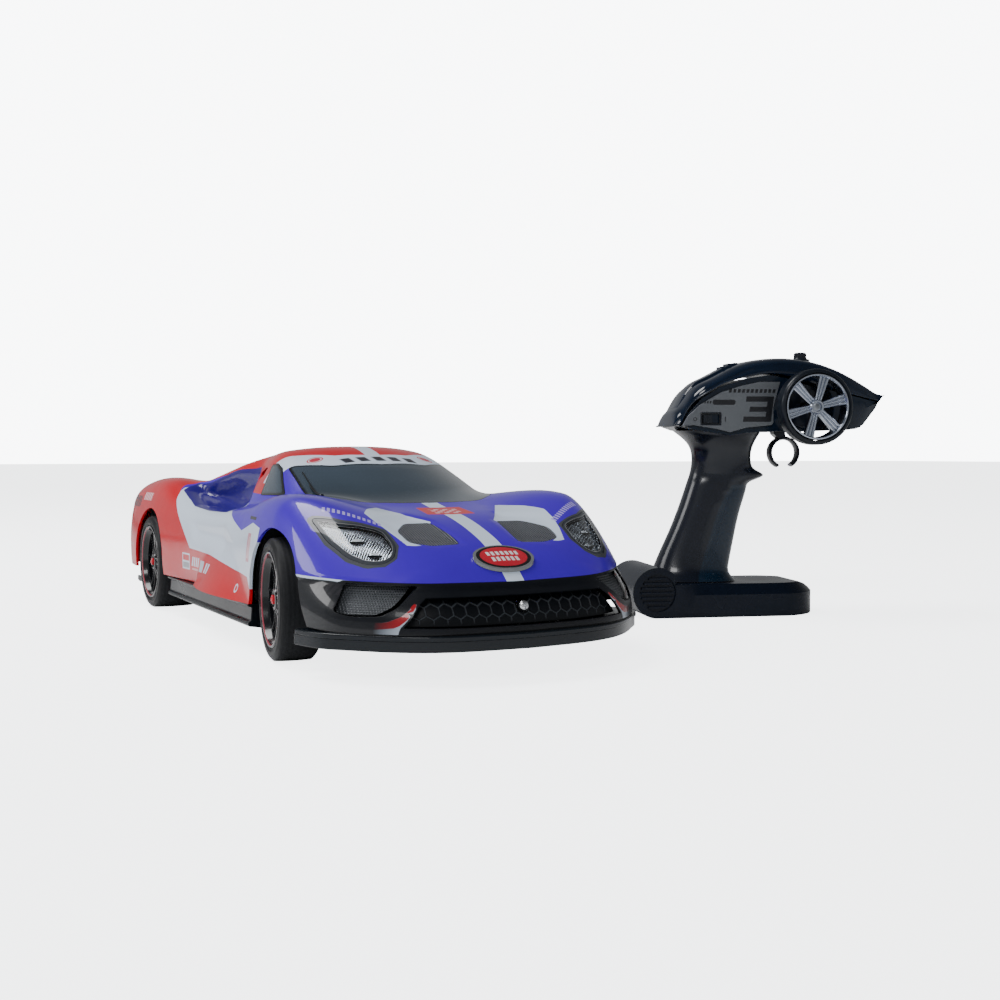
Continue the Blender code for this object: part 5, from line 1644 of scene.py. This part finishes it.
def handset_grip():
    """The grip, hollowed below for the foot's drum, with its front insert in another tone."""
    dark = Finish("grip_navy", roughness=0.24, coat=0.25)
    dark.set("Specular IOR Level", 0.4)
    ahead = dark.above(dark.attribute("ahead").outputs["Fac"], 0.3, 0.5)
    body = speckled(dark, (0.002, 0.0045, 0.012))
    dark.set("Base Color", dark.mix(ahead, body, (0.003, 0.013, 0.029)))
    dark.set("Roughness", dark.math('MULTIPLY_ADD', dark.noise(25.0), 0.12, 0.2))
    dark.bump(dark.noise(0.8), 0.01)
    drum = prism(circle(DRUM_AT, DRUM_RADIUS + 0.3, 64), -50, 50, 'Y')
    mesh = cut_out(solid_object("grip", grip_shape()), [drum])
    marks = {"ahead": lambda x, y, z: np.minimum(x - seam_line(z), 89 - z)}
    piece("handset_grip_body", mesh, dark.material, HANDSET, "handset",
          ["handset_grip"], sharp=50, marks=marks)


def base_side():
    """The foot from the side: a rounded toe, a bevelled deck and the drum at its heel."""
    outline = arc(DRUM_AT, DRUM_RADIUS, 40, 270, 56)
    return outline + [(57, 0), (60.5, 0.8), (62.6, 3), (63.4, 8), (63.4, 13.2), (62.4, 15.4), (54, 20.4),
                      (49, 22.1), (-44, 22.2)]


def foot_plan():
    """What trims the foot seen from above: rounded at the toe, and drawn in towards the deck."""
    heel = [(x, BASE_HALF - 0.5) for x in range(20, -48, -4)] + [(-80, BASE_HALF - 0.5)]
    plan = arc((30, 0), BASE_HALF, -80, 80, 48) + heel + [(x, -y) for x, y in reversed(heel)]
    deck = []
    for x, y in plan:
        slope = float(ease(-44, -12, x))
        deck.append((x - 0.10 * slope * max(x, 0), y * (1 - 0.17 * slope)))
    levels = ((-5, plan), (15.2, plan), (22.6, deck), (45, deck))
    return loft([[(x, y, z) for x, y in ring] for z, ring in levels])


def handset_base():
    """The foot, with a well below for the battery door and a round recess in each end of its drum."""
    dark = moulded_plastic("base_navy", (0.002, 0.005, 0.013), 0.27, 0.012)
    recesses = bmesh.new()
    for side in (1, -1):
        span = sorted((side * (BASE_HALF - 2), side * (BASE_HALF + 3)))
        prism(circle(DRUM_AT, 12.6, 64), *span, 'Y', recesses)
    target = solid_object("base", prism(base_side(), -BASE_HALF, BASE_HALF, 'Y'))
    helpers = [solid_object("plan", foot_plan()),
               solid_object("well", prism(rectangle(-41, 24, -20, 20), -2, 3.4)),
               solid_object("recesses", recesses)]
    for helper, operation in zip(helpers, ('INTERSECT', 'DIFFERENCE', 'DIFFERENCE')):
        boolean(target, helper, operation)
    foot = piece("handset_foot", applied(target, helpers), dark, HANDSET, "handset",
                 ["handset_base"], bevel=1.1, sharp=14)
    foot.modifiers.new("even_shading", 'WEIGHTED_NORMAL').keep_sharp = True
    piece("drum_ribs", drum_ribs(), dark, HANDSET, "handset", bevel=0.2)


def drum_ribs():
    """Seven level ribs across each recess of the drum."""
    ribs = bmesh.new()
    middle_x, middle_z = DRUM_AT
    for side in (1, -1):
        span = sorted((side * (BASE_HALF - 2.1), side * (BASE_HALF - 0.5)))
        for step in range(7):
            z = middle_z - 9.6 + 3.2 * step
            reach = math.sqrt(11.4**2 - (z - middle_z)**2)
            prism(rectangle(middle_x - reach, middle_x + reach, z - 0.75, z + 0.75), *span, 'Y', ribs)
    return ribs


def chrome_finish(name="handwheel_chrome"):
    """Vacuum-metallised plastic, softly mirrored."""
    chrome = Finish(name, roughness=0.16, metallic=1.0)
    chrome.set("Base Color", speckled(chrome, (0.50, 0.54, 0.62), 0.12, 4.0))
    chrome.set("Roughness", chrome.math('MULTIPLY_ADD', chrome.noise(2.0, 4.0), 0.12, 0.12))
    chrome.bump(chrome.noise(5.0), 0.02)
    return chrome.material


def handwheel():
    """The steering wheel: a foam ring, and a metallised rim with six ribbed spokes and a screw."""
    home = handset_axes_at(*HANDWHEEL_AT)
    foam = moulded_plastic("foam_ring", (0.005, 0.008, 0.014), 0.34, 0.04, coat=0.2)
    piece("handwheel_foam", turned(foam_profile(25.5, 2.6), 96), foam, home, "handset_wheel",
          ["handset_wheel_tyre"], sharp=50)
    piece("handwheel_rim", handwheel_rim(), chrome_finish(), home, "handset_wheel",
          ["handset_wheel_rim"], sharp=35)
    low = HANDWHEEL_FACE
    profile = [(0, low + 1.5), (1.6, low + 1.6), (2.4, low + 2.0), (2.4, low + 3.4), (0, low + 3.4)]
    head = solid_object("head", turned(profile, 32))
    slots = cross_slots((0, 0), 1.3, 0.28, low + 0.5, low + 2.3, 'Y')
    steel = brushed("hub_screw_steel", (0.32, 0.34, 0.37), 0.3)
    piece("handwheel_screw", cut_out(head, [slots], 'EXACT'), steel, home, "handset_wheel")


def foam_profile(outer, soft):
    """The foam ring's section, with outer corners of the radius soft."""
    low, high = HANDWHEEL_FACE, HANDWHEEL_BACK
    turn = np.linspace(0, math.pi / 2, 8)
    near = [(outer - soft + soft * math.sin(a), low + soft - soft * math.cos(a)) for a in turn]
    far = [(outer - soft + soft * math.cos(a), high - soft + soft * math.sin(a)) for a in turn]
    return [(22.5, low + 1.2), (22.7, low + 0.5), *near, *far, (22.7, high - 0.5), (22.5, high - 1.2)]


def handwheel_rim():
    """The rim inside the foam, six spokes of three ribs on a web, the hub and its shaft."""
    low, high = HANDWHEEL_FACE, HANDWHEEL_BACK
    rim = [(22.2, low + 1.0), (21.8, low + 0.3), (21.0, low + 0.2), (20.4, low + 0.9), (20.2, low + 2.4),
           (20.2, high - 1.2), (22.2, high - 1.2)]
    shape = turned(rim, 96)
    for spoke in range(6):
        angle = math.radians(60 * spoke + 15)
        out = Vector((math.cos(angle), 0, math.sin(angle)))
        across = Vector((-math.sin(angle), 0, math.cos(angle)))
        for rib in range(3):
            rings = []
            for t in np.linspace(0, 1, 5):
                spread = 1.25 + 0.75 * t
                centre = out * (3.6 + (20.6 - 3.6) * t) + across * (rib - 1) * spread * 1.24
                half = 0.66 + 0.3 * t
                face = low + 2.6 - 0.8 * t
                section = [(-half, low + 6), (half, low + 6), (half, face + 0.5), (half * 0.4, face),
                           (-half * 0.4, face), (-half, face + 0.5)]
                rings.append(upright(section, centre, across))
            loft(rings, shape=shape)
        web = []
        for radius, half in ((3.6, 2.0), (3.6 + 17, 2.0 + 1.5)):
            web.append(upright(rectangle(-half, half, low + 3.6, low + 6), out * radius, across))
        loft(web, shape=shape)
    hub = [(1.5, low + 6.5), (5.0, low + 6.5), (5.0, low + 1.9), (4.3, low + 1.0), (3.2, low + 1.0),
           (2.8, low + 2.4), (1.5, low + 2.4)]
    shaft = [(0, low + 4), (2.9, low + 4), (2.9, -16), (0, -16)]
    turned(hub, 48, shape=shape)
    turned(shaft, 32, shape=shape)
    return shape


def trigger():
    """The trigger: a block under the head with a finger ring open at its bottom."""
    gloss = gloss_plastic("trigger_gloss", (0.006, 0.009, 0.016), 0.2)
    home = handset_axes_at(*TRIGGER_PIVOT)
    ring_x, ring_z = TRIGGER_RING[0] - TRIGGER_PIVOT[0], TRIGGER_RING[1] - TRIGGER_PIVOT[1]
    section = [(3.9 * math.cos(a) * 0.36, 4.4 * math.sin(a)) for a in np.linspace(0, 2 * math.pi, 17)[:-1]]
    rings = []
    for angle in np.linspace(math.radians(-60), math.radians(244), 64):
        out = Vector((math.cos(angle), 0, math.sin(angle)))
        middle = Vector((ring_x, 0, ring_z)) + out * 10.2
        rings.append([middle + out * u + Vector((0, v, 0)) for u, v in section])
    shape = loft(rings)
    stem = [(-4.1, 1), (4.1, 1), (6.0, -12.4), (0.8, -13.2), (-2.9, -10)]
    prism(stem, -3.9, 3.9, 'Y', shape)
    turned([(0, -4.4), (4.3, -4.4), (4.3, 4.4), (0, 4.4)], 40, 'Y', shape=shape)
    turned([(0, -8.8), (1.6, -8.8), (1.6, 8.8), (0, 8.8)], 20, 'Y', shape=shape)
    piece("trigger_lever", shape, gloss, home, "trigger", ["handset_trigger"], bevel=0.35)


def trim_knob(gloss):
    """The stepped trim knob: a flange, a neck and a knurled cap with a pointer line."""
    profile = [(0, 171.4), (2.1, 171.4), (2.1, 174), (6.3, 174), (6.6, 174.3), (6.6, 175.8), (6.1, 176.4),
               (5, 176.6), (4.6, 177.0), (4.6, 177.6), (4.2, 177.9), (4.2, 180.3), (3.6, 181.0),
               (2.2, 181.2), (0, 181.2)]
    shape = turned(profile, 64, 'Z')
    for i in range(24):
        angle = 2 * math.pi * i / 24
        knurl = circle((4.2 * math.cos(angle), 4.2 * math.sin(angle)), 0.28, 8)
        prism(knurl, 178.1, 180.2, shape=shape)
    prism(rectangle(-0.4, 0.4, 0.5, 3.4), 181.0, 181.35, shape=shape)
    piece("trim_knob_cap", shape, gloss, handset_axes_at(KNOB_X, 0), "trim_knob",
          ["trim_knob"], sharp=40)


def slide_switch(gloss):
    """The slide switch's button, with three raised ribs for the finger."""
    x, face, z = -20.5, -HEAD_HALF, 133.7
    slider = prism(rectangle(x - 3, x + 3, z - 2.6, z + 2.6), face - 2.6, face + 3.6, 'Y')
    for step in (-1.6, 0, 1.6):
        rib = rectangle(x + step - 0.4, x + step + 0.4, z - 2.3, z + 2.3)
        prism(rib, face - 3, face - 2, 'Y', slider)
    piece("slide_switch_button", slider, gloss, HANDSET, "handset_switch",
          ["handset_switch"], bevel=0.2)


def handset():
    """The handset's pieces, from the canopy down."""
    handset_canopy()
    handset_head()
    label()
    handset_grip()
    handset_base()
    handwheel()
    trigger()
    gloss = gloss_plastic("knob_gloss", (0.008, 0.011, 0.018), 0.2)
    trim_knob(gloss)
    slide_switch(gloss)
    refinish("handset_battery_door", navy_plastic("door_navy", 0.25))


# ---------------------------------------------------------------- stage

STUDIO_WHITE = (0.96, 0.98, 1.0)
HORIZON_LIGHT = 0.42         # strength of the world as light, level with the floor
SKY_LIGHT = 0.10             # and from above
BACKDROP = 9.0               # strength of the world as the camera sees it
FLOOR_GLOW = 3.6             # and of the floor as the camera sees it


def studio_floor():
    """A wide pale floor that shows white to the camera, as the photo's background is."""
    bm = bmesh.new()
    bmesh.ops.create_grid(bm, x_segments=1, y_segments=1, size=12)
    mesh = bpy.data.meshes.new("floor")
    bm.to_mesh(mesh)
    bm.free()
    floor = loose_object("floor", mesh)
    pale = Finish("studio_floor", roughness=0.6)
    pale.set("Base Color", (0.94, 0.95, 0.96))
    pale.set("Emission Color", STUDIO_WHITE)
    seen = pale.tree.nodes.new("ShaderNodeLightPath").outputs["Is Camera Ray"]
    pale.set("Emission Strength", pale.math('MULTIPLY', seen, FLOOR_GLOW))
    floor.data.materials.append(pale.material)


def studio_world():
    """Light from all round, weaker from above than from the horizon, behind it a white backdrop."""
    world = bpy.data.worlds.new("studio")
    world.use_nodes = True
    nodes, links = world.node_tree.nodes, world.node_tree.links
    background = nodes["Background"]
    background.inputs["Color"].default_value = (*STUDIO_WHITE, 1)
    parts = nodes.new("ShaderNodeSeparateXYZ")
    links.new(nodes.new("ShaderNodeTexCoord").outputs["Generated"], parts.inputs[0])
    height = nodes.new("ShaderNodeMapRange")
    height.interpolation_type = 'SMOOTHSTEP'
    for name, value in (("From Min", 0.15), ("From Max", 0.65), ("To Min", HORIZON_LIGHT),
                        ("To Max", SKY_LIGHT)):
        height.inputs[name].default_value = value
    links.new(parts.outputs["Z"], height.inputs["Value"])
    seen = nodes.new("ShaderNodeLightPath").outputs["Is Camera Ray"]
    strength = nodes.new("ShaderNodeMapRange")
    strength.inputs["To Max"].default_value = BACKDROP
    links.new(height.outputs[0], strength.inputs["To Min"])
    links.new(seen, strength.inputs["Value"])
    links.new(strength.outputs[0], background.inputs["Strength"])
    bpy.context.scene.world = world


def softbox(name, at, towards, size, power):
    """A rectangular light at a place, in metres, that faces another place."""
    light = bpy.data.lights.new(name, 'AREA')
    light.shape = 'RECTANGLE'
    light.size, light.size_y = size
    light.energy = power
    lamp = loose_object(name, light)
    lamp.location = at
    lamp.rotation_euler = (Vector(towards) - Vector(at)).to_track_quat('-Z', 'Y').to_euler()


def studio():
    """A pale floor under soft studio light, and the camera."""
    studio_floor()
    studio_world()
    softbox("overhead", (-0.6, -0.65, 1.7), (0, 0, 0), (1.1, 0.8), 29)
    softbox("key", (1.5, -1.3, 1.5), (0.05, -0.1, 0.05), (0.8, 0.55), 19)
    softbox("side_fill", (-0.6, -1.8, 0.9), (-0.05, -0.1, 0.05), (0.9, 0.5), 10)
    camera = bpy.data.cameras.new("camera")
    camera.sensor_width = 36
    camera.lens = 45.54
    viewer = loose_object("camera", camera)
    viewer.location = (0.7693, -0.4391, 0.1111)
    viewer.rotation_euler = (math.radians(87.845), 0, math.radians(61.6))
    bpy.context.scene.camera = viewer


painted_shell()
windows()
wiper()
headlights()
tail_lights()
vents_and_intakes()
grille()
badge()
arch_liners()
wheels()
front_splitter()
side_skirts()
rear_valance()
chassis_finishes()
handset()
for leftover in SKINS.values():
    bpy.data.objects.remove(leftover, do_unlink=True)
studio()
